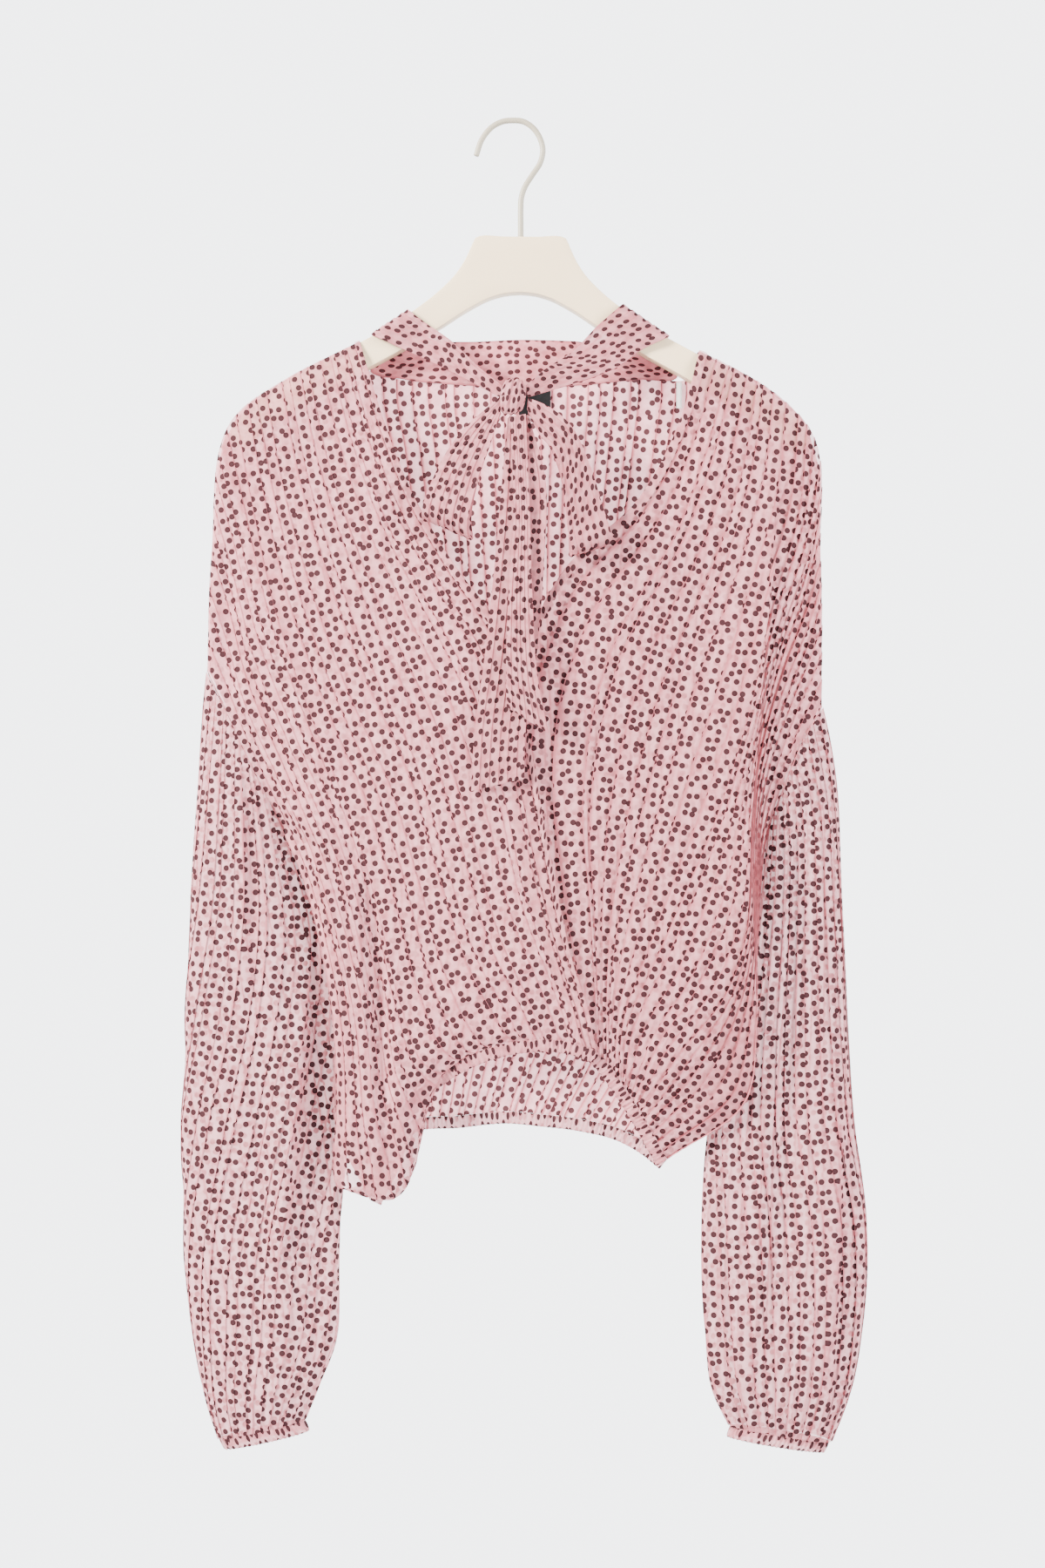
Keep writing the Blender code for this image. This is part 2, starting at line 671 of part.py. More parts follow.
KNOT_MIDDLE = (1.5, -22.5, -202)
KNOT_SIZE = (19, 14, 27)
KNOT_FOLDS = 3
KNOT_FOLD_DEPTH = 0.06
KNOT_TAPER = 0.15


def bow_knot():
    """The knot: an upright cushion of cloth with a few folds running round it."""
    bpy.ops.mesh.primitive_uv_sphere_add(segments=16, ring_count=10, radius=0.5)
    item = bpy.context.object
    for vertex in item.data.vertices:
        x, y, z = vertex.co
        crease = 1 - KNOT_FOLD_DEPTH * (1 - cos(2 * pi * KNOT_FOLDS * (x + 0.5))) * (1 - 4 * z * z)
        place = Vector((x, y * crease, z * (1 - KNOT_TAPER * x)))
        vertex.co = Vector(a * b + c for a, b, c in zip(place, KNOT_SIZE, KNOT_MIDDLE)) * MM
    return finish(item, "bow_knot", CHIFFON_PINK)


# Columns: two edges of each strip, top to bottom
NECK_LABEL = (((5, 7.9, -189.5), (28, 7.9, -189.5)), ((5, 7.9, -210.5), (28, 7.9, -210.5)))
HANGER_LOOP = (((119.5, 7.6, -186), (123.5, 7.6, -186)), ((119.5, 7.6, -205), (123.5, 7.6, -205)))
LABEL_THICK = 0.8


clear_scene()
blouse = collection_named("tie_neck_blouse")

hanger_board()
hanger_hook()

front_right = front_grid(RIGHT_SEAM, FRONT_RIGHT, RIGHT_PLEATS, RIGHT_FOLDS)
front_left = front_grid(LEFT_SEAM, FRONT_LEFT, LEFT_PLEATS, LEFT_FOLDS)
back = back_grid()

# Columns: name, points, thickness, whether the sheet closes round
PANELS = (
    ("back", back, WALL, False),
    ("front_left", front_left, WALL, False),
    ("front_right", front_right, WALL, False),
    ("sleeve_left", sleeve_grid(SLEEVE_LEFT, SLEEVE_LEFT_FOLDS, LEFT), WALL, True),
    ("sleeve_right", sleeve_grid(SLEEVE_RIGHT, SLEEVE_RIGHT_FOLDS, RIGHT), WALL, True),
    ("waistband_back", casing_grid(back), CASING_THICK, False),
    ("waistband_front_left", casing_grid(front_left), CASING_THICK, False),
    ("waistband_front_right", casing_grid(front_right), CASING_THICK, False),
    ("cuff_left", cuff_grid(SLEEVE_LEFT, LEFT), CASING_THICK, True),
    ("cuff_right", cuff_grid(SLEEVE_RIGHT, RIGHT), CASING_THICK, True),
)
# Columns: name, sections, steps between them, the side its pleats rise on
BANDS = (
    ("neckband_back", NECKBAND_BACK, (1, 1, 2, 2, 2, 2, 2, 2, 1, 1), -1),
    ("tie_strap_right", STRAP_RIGHT, (1, 2, 2, 2, 2), 1),
    ("tie_strap_left", STRAP_LEFT, (1, 2, 2, 2, 2), -1),
    ("bow_loop_right", LOOP_RIGHT, (2, 2, 2, 1, 1, 2, 2), 1),
    ("bow_loop_left", LOOP_LEFT, (2, 2, 2, 2, 2, 1, 1, 2, 2), -1),
    ("tie_tail_front", TAIL_FRONT, (2, 2, 2, 2), 1),
    ("tie_tail_back", TAIL_BACK, (2, 2, 2, 2, 2), 1),
)
# Columns: name, corners, colour
TRIMS = (
    ("neck_label", NECK_LABEL, LABEL_BLACK),
    ("hanger_loop", HANGER_LOOP, RIBBON_WHITE),
)

for name, grid, thickness, closed in PANELS:
    finish(cloth_object(grid, thickness, closed), name, CHIFFON_PINK)
for name, sections, steps, outward in BANDS:
    finish(cloth_object(strip_grid(sections, steps, BAND_PLEATS, outward), DOUBLE_WALL), name, CHIFFON_PINK)
for name, corners, colour in TRIMS:
    grid = [[Vector(point) for point in row] for row in corners]
    finish(cloth_object(grid, LABEL_THICK), name, colour)
bow_knot()
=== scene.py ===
"""The looks of a sheer pleated tie neck blouse on a flat hanger.

Sizes in the tables are in millimetres, in the CAD frame: X to the wearer's left, Y to the back and Z up,
with the origin at the inside top of the hook. Right and left are the wearer's.
"""

from math import cos, pi, radians, sin

import bpy
import numpy as np
from mathutils import Matrix, Vector, noise


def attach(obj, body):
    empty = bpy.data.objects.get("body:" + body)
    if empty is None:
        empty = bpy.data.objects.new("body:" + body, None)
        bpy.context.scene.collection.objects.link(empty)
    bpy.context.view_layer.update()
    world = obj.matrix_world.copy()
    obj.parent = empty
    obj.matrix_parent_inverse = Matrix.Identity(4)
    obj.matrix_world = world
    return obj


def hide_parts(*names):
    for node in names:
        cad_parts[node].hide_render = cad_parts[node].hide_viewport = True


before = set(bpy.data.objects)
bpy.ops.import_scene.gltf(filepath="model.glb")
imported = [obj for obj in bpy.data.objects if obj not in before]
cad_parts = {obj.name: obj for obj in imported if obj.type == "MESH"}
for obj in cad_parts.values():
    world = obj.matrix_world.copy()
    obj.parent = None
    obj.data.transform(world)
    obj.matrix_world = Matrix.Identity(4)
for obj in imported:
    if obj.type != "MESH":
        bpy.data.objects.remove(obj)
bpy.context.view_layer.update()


# Hanger board
# A flat board moulded in cream plastic, 12 mm thick, with eased edges, a square crown and a
# bowed underside. It leans a little, as it hangs. Its raised words are left off.

MM = 0.001
CREAM = (0.56, 0.435, 0.275)
HANGER_MIDDLE = 6.3
HANGER_THICK = 12.0
HANGER_TILT = 0.4
HANGER_CROWN = -83.5
HANGER_EASE = 1.6
# Columns: distance from the middle, height of the top edge
HANGER_TOP = (
    (0, HANGER_CROWN), (12, HANGER_CROWN), (30.6, HANGER_CROWN), (32.2, -84), (33.2, -85.6), (36, -91.8),
    (39, -98.5), (46.5, -110.5), (57, -121.5), (75, -136), (98, -151), (118, -162), (143, -175),
    (165, -186.5), (186, -201.5), (200, -214), (207, -223), (208.5, -229),
)
# Columns: distance from the middle, height of the underside
HANGER_UNDERSIDE = (
    (0, -123.5), (10, -124.4), (20, -127), (37, -135.5), (57, -148.5), (87, -166.5), (118, -183.5),
    (143, -198), (165, -211), (186, -225), (200, -236.5), (206, -234), (208.5, -229),
)


def smoothed(points, places):
    """Points on smooth curves through the given ones; places lists the fractions wanted on each span."""
    points = np.asarray(points, float)
    spans = np.maximum(np.linalg.norm(np.diff(points, axis=0), axis=-1, keepdims=True), 0.01)
    slopes = np.diff(points, axis=0) / spans
    tangents = np.empty_like(points)
    tangents[0], tangents[-1] = slopes[0], slopes[-1]
    tangents[1:-1] = (slopes[:-1] * spans[1:] + slopes[1:] * spans[:-1]) / (spans[:-1] + spans[1:])
    curve = []
    for i, fractions in enumerate(places):
        for t in fractions:
            rise = t * t * (3 - 2 * t)
            bend = tangents[i] * t * (1 - t) ** 2 - tangents[i + 1] * t * t * (1 - t)
            curve.append(points[i] * (1 - rise) + points[i + 1] * rise + spans[i] * bend)
    curve.append(points[-1])
    return np.array(curve)


def even_places(count):
    """Where even steps start on a span, as fractions."""
    return [step / count for step in range(count)]


def smooth_curve(points, steps):
    """A smooth curve through a table of points, with the same number of steps on each span."""
    return smoothed(points, [even_places(steps)] * (len(points) - 1))


def run_along(points):
    """The length along a line at each of its points."""
    return np.concatenate([[0], np.cumsum(np.linalg.norm(np.diff(points, axis=0), axis=1))])


def along_curve(points, shares):
    """Points at the given shares of the length of a dense curve."""
    length = run_along(points)
    return np.column_stack([np.interp(np.asarray(shares) * length[-1], length, axis) for axis in points.T])


def set_all(thing, settings):
    """Sets the named attributes of a thing."""
    for key, value in settings.items():
        setattr(thing, key, value)


def faced_out():
    """Turns all faces of the mesh in edit mode outward, and leaves edit mode."""
    bpy.ops.mesh.select_all(action="SELECT")
    bpy.ops.mesh.normals_make_consistent(inside=False)
    bpy.ops.object.mode_set(mode="OBJECT")


def shaped_by(piece, kind, **settings):
    """Gives the active piece a modifier and applies it."""
    set_all(piece.modifiers.new(kind, kind), settings)
    bpy.ops.object.modifier_apply(modifier=kind)


# Sockets of a mix node that blends colours
MIX_FIRST, MIX_SECOND, MIX_RESULT = 6, 7, 2


def node_made(tree, kind, sockets=None, **settings):
    """A shader node with its settings, and with values on the sockets that stay unlinked."""
    node = tree.nodes.new("ShaderNode" + kind)
    set_all(node, settings)
    for socket, value in (sockets or {}).items():
        node.inputs[socket].default_value = value
    return node


def grain_node(tree, scale, detail=2.0):
    """A cloud of noise, coarse or fine as its scale says."""
    return node_made(tree, "TexNoise", {"Scale": scale, "Detail": detail})


def bump_node(tree, strength, distance):
    """A bump of the given strength, with its height in metres."""
    return node_made(tree, "Bump", {"Strength": strength, "Distance": distance})


def ramp_node(tree, start, end, low=0.0, high=1.0, smooth=True):
    """A ramp that goes from low to high while its value goes from start to end."""
    sockets = {"From Min": start, "From Max": end, "To Min": low, "To Max": high}
    return node_made(tree, "MapRange", sockets, interpolation_type="SMOOTHSTEP" if smooth else "LINEAR")


def blend_node(tree, **colours):
    """A blend of two colours, first and second; one that is left out is linked later."""
    places = {"first": MIX_FIRST, "second": MIX_SECOND}
    sockets = {places[key]: (*colour, 1) for key, colour in colours.items()}
    return node_made(tree, "Mix", sockets, data_type="RGBA")


def wired(tree, *links):
    """Links nodes; each link gives a node and its output, then a node and its input."""
    for source, result, target, entry in links:
        tree.links.new(source.outputs[result], target.inputs[entry])


def material_started(name):
    """A material with an empty tree but for its output."""
    material = bpy.data.materials.new(name)
    material.use_nodes = True
    tree = material.node_tree
    tree.nodes.clear()
    return material, tree, node_made(tree, "OutputMaterial")


def moulded_cream(name, base, roughness, grain):
    """Satin moulded plastic: a faint cloud of colour, fine pits and a little wear in the gloss."""
    material, tree, output = material_started(name)
    place = node_made(tree, "TexCoord")
    shader = node_made(tree, "BsdfPrincipled")
    cloud, pits = grain_node(tree, 18.0, 4.0), grain_node(tree, grain, 3.0)
    tint = blend_node(tree, first=[c * 0.96 for c in base], second=[min(c * 1.03, 1) for c in base])
    gloss = ramp_node(tree, 0, 1, roughness - 0.06, roughness + 0.08, smooth=False)
    bump = bump_node(tree, 0.12, 0.0002)
    wired(tree, (place, "Object", cloud, "Vector"), (place, "Object", pits, "Vector"),
          (cloud, "Fac", tint, 0), (tint, MIX_RESULT, shader, "Base Color"),
          (cloud, "Fac", gloss, "Value"), (gloss, "Result", shader, "Roughness"),
          (pits, "Fac", bump, "Height"), (bump, "Normal", shader, "Normal"),
          (shader, "BSDF", output, "Surface"))
    return material


def finished(piece, name, material, slot, *nodes):
    """Names a piece, gives it its material, and says what it is fixed to and stands for."""
    piece.name = name
    piece.data.name = name
    piece.data.materials.clear()
    piece.data.materials.append(material)
    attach(piece, "root")
    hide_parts(*nodes)
    return piece


BOARD_COLUMNS = 144
BOARD_LAYERS = 4


def hanger_outline(table):
    """Evenly spaced heights of one edge of the board, from tip to tip."""
    half = smooth_curve(table, 12)
    whole = np.concatenate([half[::-1] * (-1, 1), half[1:]])
    return along_curve(whole, np.linspace(0, 1, BOARD_COLUMNS + 1))


bpy.ops.object.select_all(action="DESELECT")
bpy.ops.mesh.primitive_grid_add(x_subdivisions=BOARD_COLUMNS, y_subdivisions=BOARD_LAYERS, size=1.0)
board = bpy.context.object
top_edge, underside = hanger_outline(HANGER_TOP), hanger_outline(HANGER_UNDERSIDE)
for vertex in board.data.vertices:
    column = round((vertex.co.x + 0.5) * BOARD_COLUMNS)
    x, z = underside[column] + (top_edge[column] - underside[column]) * (vertex.co.y + 0.5)
    vertex.co = Vector((x + HANGER_MIDDLE, -HANGER_THICK / 2, z)) * MM
bpy.ops.object.mode_set(mode="EDIT")
bpy.ops.mesh.select_all(action="SELECT")
bpy.ops.mesh.remove_doubles(threshold=0.00005)
bpy.ops.mesh.extrude_region_move(TRANSFORM_OT_translate={"value": (0, HANGER_THICK * MM, 0)})
faced_out()
shaped_by(board, "BEVEL", width=HANGER_EASE * MM, segments=3, limit_method="ANGLE", angle_limit=radians(50))
foot = Vector((HANGER_MIDDLE, 0, HANGER_CROWN)) * MM
lean = Matrix.Translation(foot) @ Matrix.Rotation(radians(HANGER_TILT), 4, "Y") @ Matrix.Translation(-foot)
board.data.transform(lean)
bpy.ops.object.shade_smooth_by_angle(angle=radians(35))
finished(board, "board", moulded_cream("satin_cream", CREAM, 0.42, 900.0), "hanger_board", "hanger_board")


# Hanger hook
# A steel wire about 4 mm thick with its coat, cream like the board, bent over the top and
# screwed into the middle of the crown through a small collar.

WIRE = 4.1
WIRE_COAT = (0.25, 0.215, 0.155)
# Columns: x, z from the open tip, over the top and down into the board
HOOK_PATH = (
    (-26, -24), (-21.5, -11.5), (-14, -2.6), (-6, 1.2), (0, 1.8), (8, 1), (15, -3.4), (20, -10.6),
    (22.3, -19.5), (20.6, -28.4), (14.5, -38), (9.3, -46.4), (6.8, -54), (6.3, -62), (6.3, -73), (6.3, -83.3),
)
HOOK_STEPS = 100
WIRE_SIDES = 20
COLLAR_RADIUS = 2.5
COLLAR_HEIGHT = 1.4
COLLAR_EASE = 0.4


def unit(vectors):
    """Vectors brought to length one."""
    return vectors / np.maximum(np.linalg.norm(vectors, axis=-1, keepdims=True), 1e-9)


bpy.ops.object.select_all(action="DESELECT")
bpy.ops.mesh.primitive_circle_add(vertices=WIRE_SIDES, radius=WIRE / 2 * MM, fill_type="NGON")
hook = bpy.context.object
hook_line = along_curve(smooth_curve(HOOK_PATH, 8), np.linspace(0, 1, HOOK_STEPS + 1))
bpy.ops.object.mode_set(mode="EDIT")
for _ in range(HOOK_STEPS):
    bpy.ops.mesh.extrude_region_move(TRANSFORM_OT_translate={"value": (0, 0, MM)})
bpy.ops.object.mode_set(mode="OBJECT")
directions = unit(np.gradient(hook_line, axis=0))
for vertex in hook.data.vertices:
    step = min(round(vertex.co.z / MM), HOOK_STEPS)
    (x, z), (dx, dz) = hook_line[step] * MM, directions[step]
    vertex.co = Vector((x + dz * vertex.co.x, vertex.co.y, z - dx * vertex.co.x))
bpy.ops.object.mode_set(mode="EDIT")
faced_out()
shaped_by(hook, "BEVEL", width=WIRE / 5 * MM, segments=3, limit_method="ANGLE", angle_limit=radians(60))
bpy.ops.object.shade_smooth_by_angle(angle=radians(40))
coat = moulded_cream("coated_wire", WIRE_COAT, 0.5, 500.0)
finished(hook, "hook", coat, "hanger_wire", "hanger_hook")

bpy.ops.object.select_all(action="DESELECT")
bpy.ops.mesh.primitive_cylinder_add(vertices=28, radius=COLLAR_RADIUS * MM, depth=COLLAR_HEIGHT * MM,
                                    location=(HANGER_MIDDLE * MM, 0, (HANGER_CROWN + COLLAR_HEIGHT / 2) * MM))
collar = bpy.context.object
bpy.ops.object.transform_apply(location=True, rotation=True, scale=True)
shaped_by(collar, "BEVEL", width=COLLAR_EASE * MM, segments=2)
bpy.ops.object.shade_smooth_by_angle(angle=radians(40))
finished(collar, "hook_collar", coat, "hanger_wire")


# Right front
# The panel that laps over, cut from sheer pink chiffon that is set in fine knife pleats and
# printed with small dark dots. Its edge is folded under; it hangs over the hanger's arm.

RIGHT, LEFT = -1, 1
FRONT, BACK = -1, 1
SEAM_DEPTH = 0.9
# How a sheet leaves its shoulder seam over the hanger's arm: drop, depth
OVER_ARM = ((0.0, SEAM_DEPTH), (1.0, 6.9), (7.0, 8.6))
# Columns: wrap edge, neck side, mid shoulder, shoulder tip, outer fold, armhole and side seam
RIGHT_SEAM = ((-110, -158), (-132, -169), (-161, -184), (-198, -210), (-217, -314), (-220, -396))
FRONT_RIGHT = {
    "collarbone": ((-93, -9.5, -214), (-118, -10, -226), (-150, -10, -245), (-186, -10, -277),
                   (-205, -9, -352), (-205, -9.9, -428)),
    "upper chest": ((-71, -10, -270), (-96, -11, -289), (-128, -11, -321), (-169, -12, -355),
                    (-191, -11, -405), (-189, -10.7, -462)),
    "chest": ((-43, -11, -318), (-68, -13, -346), (-103, -13, -390), (-142, -13, -434),
              (-164, -12, -468), (-167.5, -1.1, -508)),
    "crossing": ((-10, -14, -364), (-37, -16, -409), (-71, -16, -459), (-112, -17, -510),
                 (-137, -17, -530), (-153, -5, -541)),
    "below the bow": ((11, -16, -440), (-11, -17, -491), (-46, -18, -541), (-93, -19, -579),
                      (-118, -23, -592), (-139, -9, -588)),
    "midriff": ((26, -17, -522), (6, -18, -566), (-25, -19, -604), (-79, -20, -636),
                (-105, -26, -652), (-128, -10, -655)),
    "waist": ((44, -18, -607), (28, -18, -623), (-2, -18, -645), (-59, -20, -680),
              (-98, -29, -716), (-127, -10, -724)),
    "pouch": ((56, -16.5, -645), (37, -16, -648), (4, -16, -656), (-51, -16, -684),
              (-91, -27, -748), (-129, -10, -748)),
    "turn": ((58, -15.8, -657), (39, -15, -656), (6, -14.5, -659), (-46, -15, -683),
             (-87, -22, -775), (-126, -9, -768)),
    "elastic": ((61, -15, -669), (42, -14, -663), (8, -13, -662), (-43, -12, -679),
                (-79, -9, -742), (-97, -3, -764)),
}
RIGHT_PLEATS = (5, 4, 5, 6, 4)
# Columns: kind, start and end of its line as x and z, width, height
RIGHT_FOLDS = (
    ("ridge", (-139, -545), (-112, -765), 15, 6),
    ("ridge", (-101, -560), (-88, -735), 11, -9),
    ("ridge", (-171, -488), (-123, -523), 8, 5),
    ("ridge", (-164, -508), (-126, -541), 7, -5),
    ("ridge", (-60, -640), (25, -600), 12, 3),
)
STEP_EDGE = 3.5
FOLD_FADE = 0.15
FOLD_SOFTNESS = 0.6
# The painted shade beside a step, laid on as denser cloth: how far it reaches under the step and over its
# edge, and how deep it is
FOLD_SHADE = 9.0
FOLD_CREST = 0.8
FOLD_SHADE_DEPTH = 0.9

# The fine grid: samples across a pleat, and the row pitch down it
ACROSS = 8
ROW_PITCH = 4.5
# A knife pleat, from where it comes out under the last one to its crest and the turn below
# Columns: place across as a share of the pleat, height as a share of the crest's, doubled cloth behind
PLEAT_SHAPE = ((-0.11, 0.0, 1.0), (0.12, 0.16, 0.35), (0.42, 0.46, 0.0), (0.74, 0.80, 0.0), (0.98, 1.0, 0.93),
               (0.93, 0.55, 1.0))
PLEAT_SLOPE = 0.28
PLEAT_CLOTH = 12.0
PLEAT_DRIFT = 0.26
PLEAT_HEIGHTS = (0.5, 1.25)
# Rows over which the pleats rise from the seam, and how far the print runs on at the last edge
PLEAT_RISE = 4
PLEAT_END = 2.0
# The ripples of hanging cloth: height, wave lengths by axis, share and rate of the finer ones
RIPPLE = 1.3
RIPPLE_LENGTHS = (26, 90, 60)
RIPPLE_FINE = 0.4
RIPPLE_RATE = 2.7
# The gathers above elastic: how far up they reach, their height, their pitch and how they fade
DRAWN_REACH = 26
DRAWN_HEIGHT = 0.9
DRAWN_PITCH = 3.6
DRAWN_FADE = 1.3


def beside_fold(x, z, start, end):
    """How far each point lies to the side of a fold's line, and how strong the fold is there."""
    (x0, z0), (x1, z1) = start, end
    line = np.array((x1 - x0, z1 - z0), float)
    length = np.hypot(*line)
    along = ((x - x0) * line[0] + (z - z0) * line[1]) / length ** 2
    across = ((x - x0) * line[1] - (z - z0) * line[0]) / length
    inside = np.clip((along + FOLD_FADE) / (1 + 2 * FOLD_FADE), 0, 1)
    return across, np.sin(pi * inside) ** FOLD_SOFTNESS


def fold_height(x, z, folds):
    """How far the soft folds of a table push each point out of its sheet."""
    height = np.zeros_like(x)
    for kind, start, end, width, rise in folds:
        across, fade = beside_fold(x, z, start, end)
        if kind == "step":
            gentle = np.clip(1 - across / width, 0, 1) ** 2
            steep = np.clip(1 + across / STEP_EDGE, 0, 1)
            shape = np.where(across >= 0, gentle, steep)
        else:
            shape = np.where(np.abs(across) < width, np.cos(pi / 2 * np.clip(across / width, -1, 1)) ** 2, 0)
        height += rise * fade * shape
    return height


def with_painted_fold_shade(points, prints, folds):
    """Paints shade below each step fold by marking the cloth there as denser: the steep flank is cloth seen
    edge on, the reach below it is painted shade.
    """
    prints = prints.copy()
    for kind, start, end, *_ in folds:
        if kind == "step":
            across, fade = beside_fold(points[..., 0], points[..., 2], start, end)
            # Painted shade: deepest under the step's edge, fading out below it and just beyond the edge
            below = np.where(across < 0, np.exp(across / FOLD_SHADE), np.exp(-across / FOLD_CREST))
            prints[..., 2] = np.maximum(prints[..., 2], FOLD_SHADE_DEPTH * below * fade)
    return prints


def over_the_arm(seam, below, side):
    """Three rows that carry a sheet from its seam over the edge of the hanger's arm."""
    seam, below = np.array(seam, float), np.array(below, float)
    away = unit(below[:, ::2] - seam)
    rows = []
    for drop, depth in OVER_ARM:
        x, z = (seam + away * drop).T
        rows.append(np.column_stack([x, np.full(len(x), side * depth), z]))
    return rows


def row_places(rows):
    """Even steps of about one row pitch on each span of a table of rows."""
    rows = np.asarray(rows)
    spans = np.linalg.norm(np.diff(rows, axis=0), axis=-1).mean(axis=1)
    return [even_places(max(1, round(span / ROW_PITCH))) for span in spans]


def fine_sheet(rows, pleats):
    """A dense sheet through a table of rows, with ACROSS samples for each pleat."""
    down = smoothed(rows, row_places(rows))
    across = smoothed(down.transpose(1, 0, 2), [even_places(ACROSS * count) for count in pleats])
    return across.transpose(1, 0, 2)


def sheet_axes(sheet, closed):
    """Unit vectors down a dense sheet, across it, and out of it."""
    down = np.gradient(sheet, axis=0)
    if closed:
        around = np.concatenate([sheet[:, -2:-1], sheet, sheet[:, 1:2]], axis=1)
        across = (around[:, 2:] - around[:, :-2]) / 2
    else:
        across = np.gradient(sheet, axis=1)
    down = unit(down)
    out = unit(np.cross(down, across))
    return down, np.cross(out, down), out


def sampled(array, place):
    """Values of a dense sheet down one fractional column."""
    place = min(max(place, 0), array.shape[1] - 1)
    low = min(int(place), array.shape[1] - 2)
    part = place - low
    return array[:, low] * (1 - part) + array[:, low + 1] * part


def knife_pleated(sheet, count, outward, seed, height, doubled_and_shade, closed=False, turned=True):
    """Sets a dense sheet in knife pleats and gives its points, and its print coordinates with the layers of
    cloth at each point.

    The print runs on through the hidden part of each pleat, so its dots are cut at the crests.
    The share given for the cloth under each pleat says how clearly it shows through; set higher on the
    wearer's left pieces, it is also painted shade on their pleat lines.
    """
    rng = np.random.default_rng(seed)
    down, across, out = sheet_axes(sheet, closed)
    lines = np.arange(count + 1, dtype=float)
    lines[1:-1] += rng.uniform(-PLEAT_DRIFT, PLEAT_DRIFT, count - 1)
    heights = rng.uniform(*PLEAT_HEIGHTS, count)
    rows = sheet.shape[0]
    rise = np.clip(np.arange(rows) / PLEAT_RISE, 0, 1)
    points, prints = [], []
    for k in range(count):
        start, width = lines[k], lines[k + 1] - lines[k]
        centre, centre_down, centre_across = [
            sampled(array, (start + width / 2) * ACROSS) for array in (sheet, down, across)]
        run = run_along(centre)
        edge_to_edge = sampled(sheet, (start + width) * ACROSS) - sampled(sheet, start * ACROSS)
        pitch = np.linalg.norm(edge_to_edge, axis=1)
        crest = np.minimum(height * heights[k], PLEAT_SLOPE * pitch) * rise
        shape = PLEAT_SHAPE if (k or closed) else ((0.0, 0.0, 0.0),) + PLEAT_SHAPE[1:]
        for share, lift, ply_and_shade in shape:
            place = (start + width * share) * ACROSS
            if closed:
                place = place % (count * ACROSS)
            base, normal = sampled(sheet, place), sampled(out, place)
            offset = base - centre
            u = PLEAT_CLOTH * k + (offset * centre_across).sum(axis=1)
            v = run + (offset * centre_down).sum(axis=1)
            points.append(base + normal * (outward * lift * crest)[:, None])
            prints.append(np.column_stack([u, v, np.full(rows, ply_and_shade if ply_and_shade == 1 else ply_and_shade * doubled_and_shade)]))
    if closed:
        points.append(points[0])
        prints.append(prints[0] + (PLEAT_CLOTH * count, 0, 0))
    else:
        points.append(sheet[:, -1])
        prints.append(prints[-2] + (PLEAT_END, 0, 0))
        if turned:
            points, prints = turned_edge(sheet, out, outward, points, prints)
    return np.stack(points, axis=1), np.stack(prints, axis=1)


# The narrow hem under a first edge; columns: reach from the edge, height out of the sheet
EDGE_TURN = ((6.5, -0.9), (3.0, -1.0), (0.4, -0.6))
EDGE_SHARE = 0.8


def turned_edge(sheet, out, outward, points, prints):
    """Folds a narrow hem under along the first edge of a sheet, within its share of the first pleat."""
    inward = sheet[:, ACROSS] - sheet[:, 0]
    width = np.linalg.norm(inward, axis=1, keepdims=True)
    hem, marks = [], []
    for reach, lift in EDGE_TURN:
        step = np.minimum(reach, width * EDGE_SHARE)
        hem.append(sheet[:, 0] + unit(inward) * step + out[:, 0] * outward * lift)
        marks.append(prints[0] - (reach, 0, 0))
    return hem + points, marks + prints


def rippled(points, seed):
    """Small uneven ripples, a few centimetres long, that no cloth hangs without."""
    moved = points.reshape(-1, 3).copy()
    for point, place in zip(moved, moved / RIPPLE_LENGTHS + (seed, 0, 0)):
        place = Vector(place)
        point[1] += RIPPLE * noise.noise(place) + RIPPLE * RIPPLE_FINE * noise.noise(place * RIPPLE_RATE)
    return moved.reshape(points.shape)


def drawn_up(points, seed, side):
    """Small gathers that fade out upward from the last row, where elastic draws the cloth up."""
    ripple = gathers(run_along(points[-1]), seed, DRAWN_PITCH)
    away = np.linalg.norm(points - points[-1], axis=2)
    points[..., 1] += side * DRAWN_HEIGHT * ripple * np.clip(1 - away / DRAWN_REACH, 0, 1) ** DRAWN_FADE
    return points


# Lengths over which gathers drift along, and change in size; how far they drift
GATHER_DRIFT = 9
GATHER_CHANGE = 6
GATHER_SHIFT = 5


def gathers(run, seed, pitch):
    """An uneven ripple along a length, from -1 to 1, as small gathers make."""
    values = []
    for s in run:
        drift = noise.noise(Vector((s / GATHER_DRIFT + seed, 0.3, 0.7)))
        size = 0.75 + 0.6 * noise.noise(Vector((s / GATHER_CHANGE, seed + 5.1, 0.2)))
        values.append(size * sin(2 * pi * s / pitch + GATHER_SHIFT * drift))
    return np.array(values)


def added(name, data):
    """A new object in the scene."""
    thing = bpy.data.objects.new(name, data)
    bpy.context.scene.collection.objects.link(thing)
    return thing


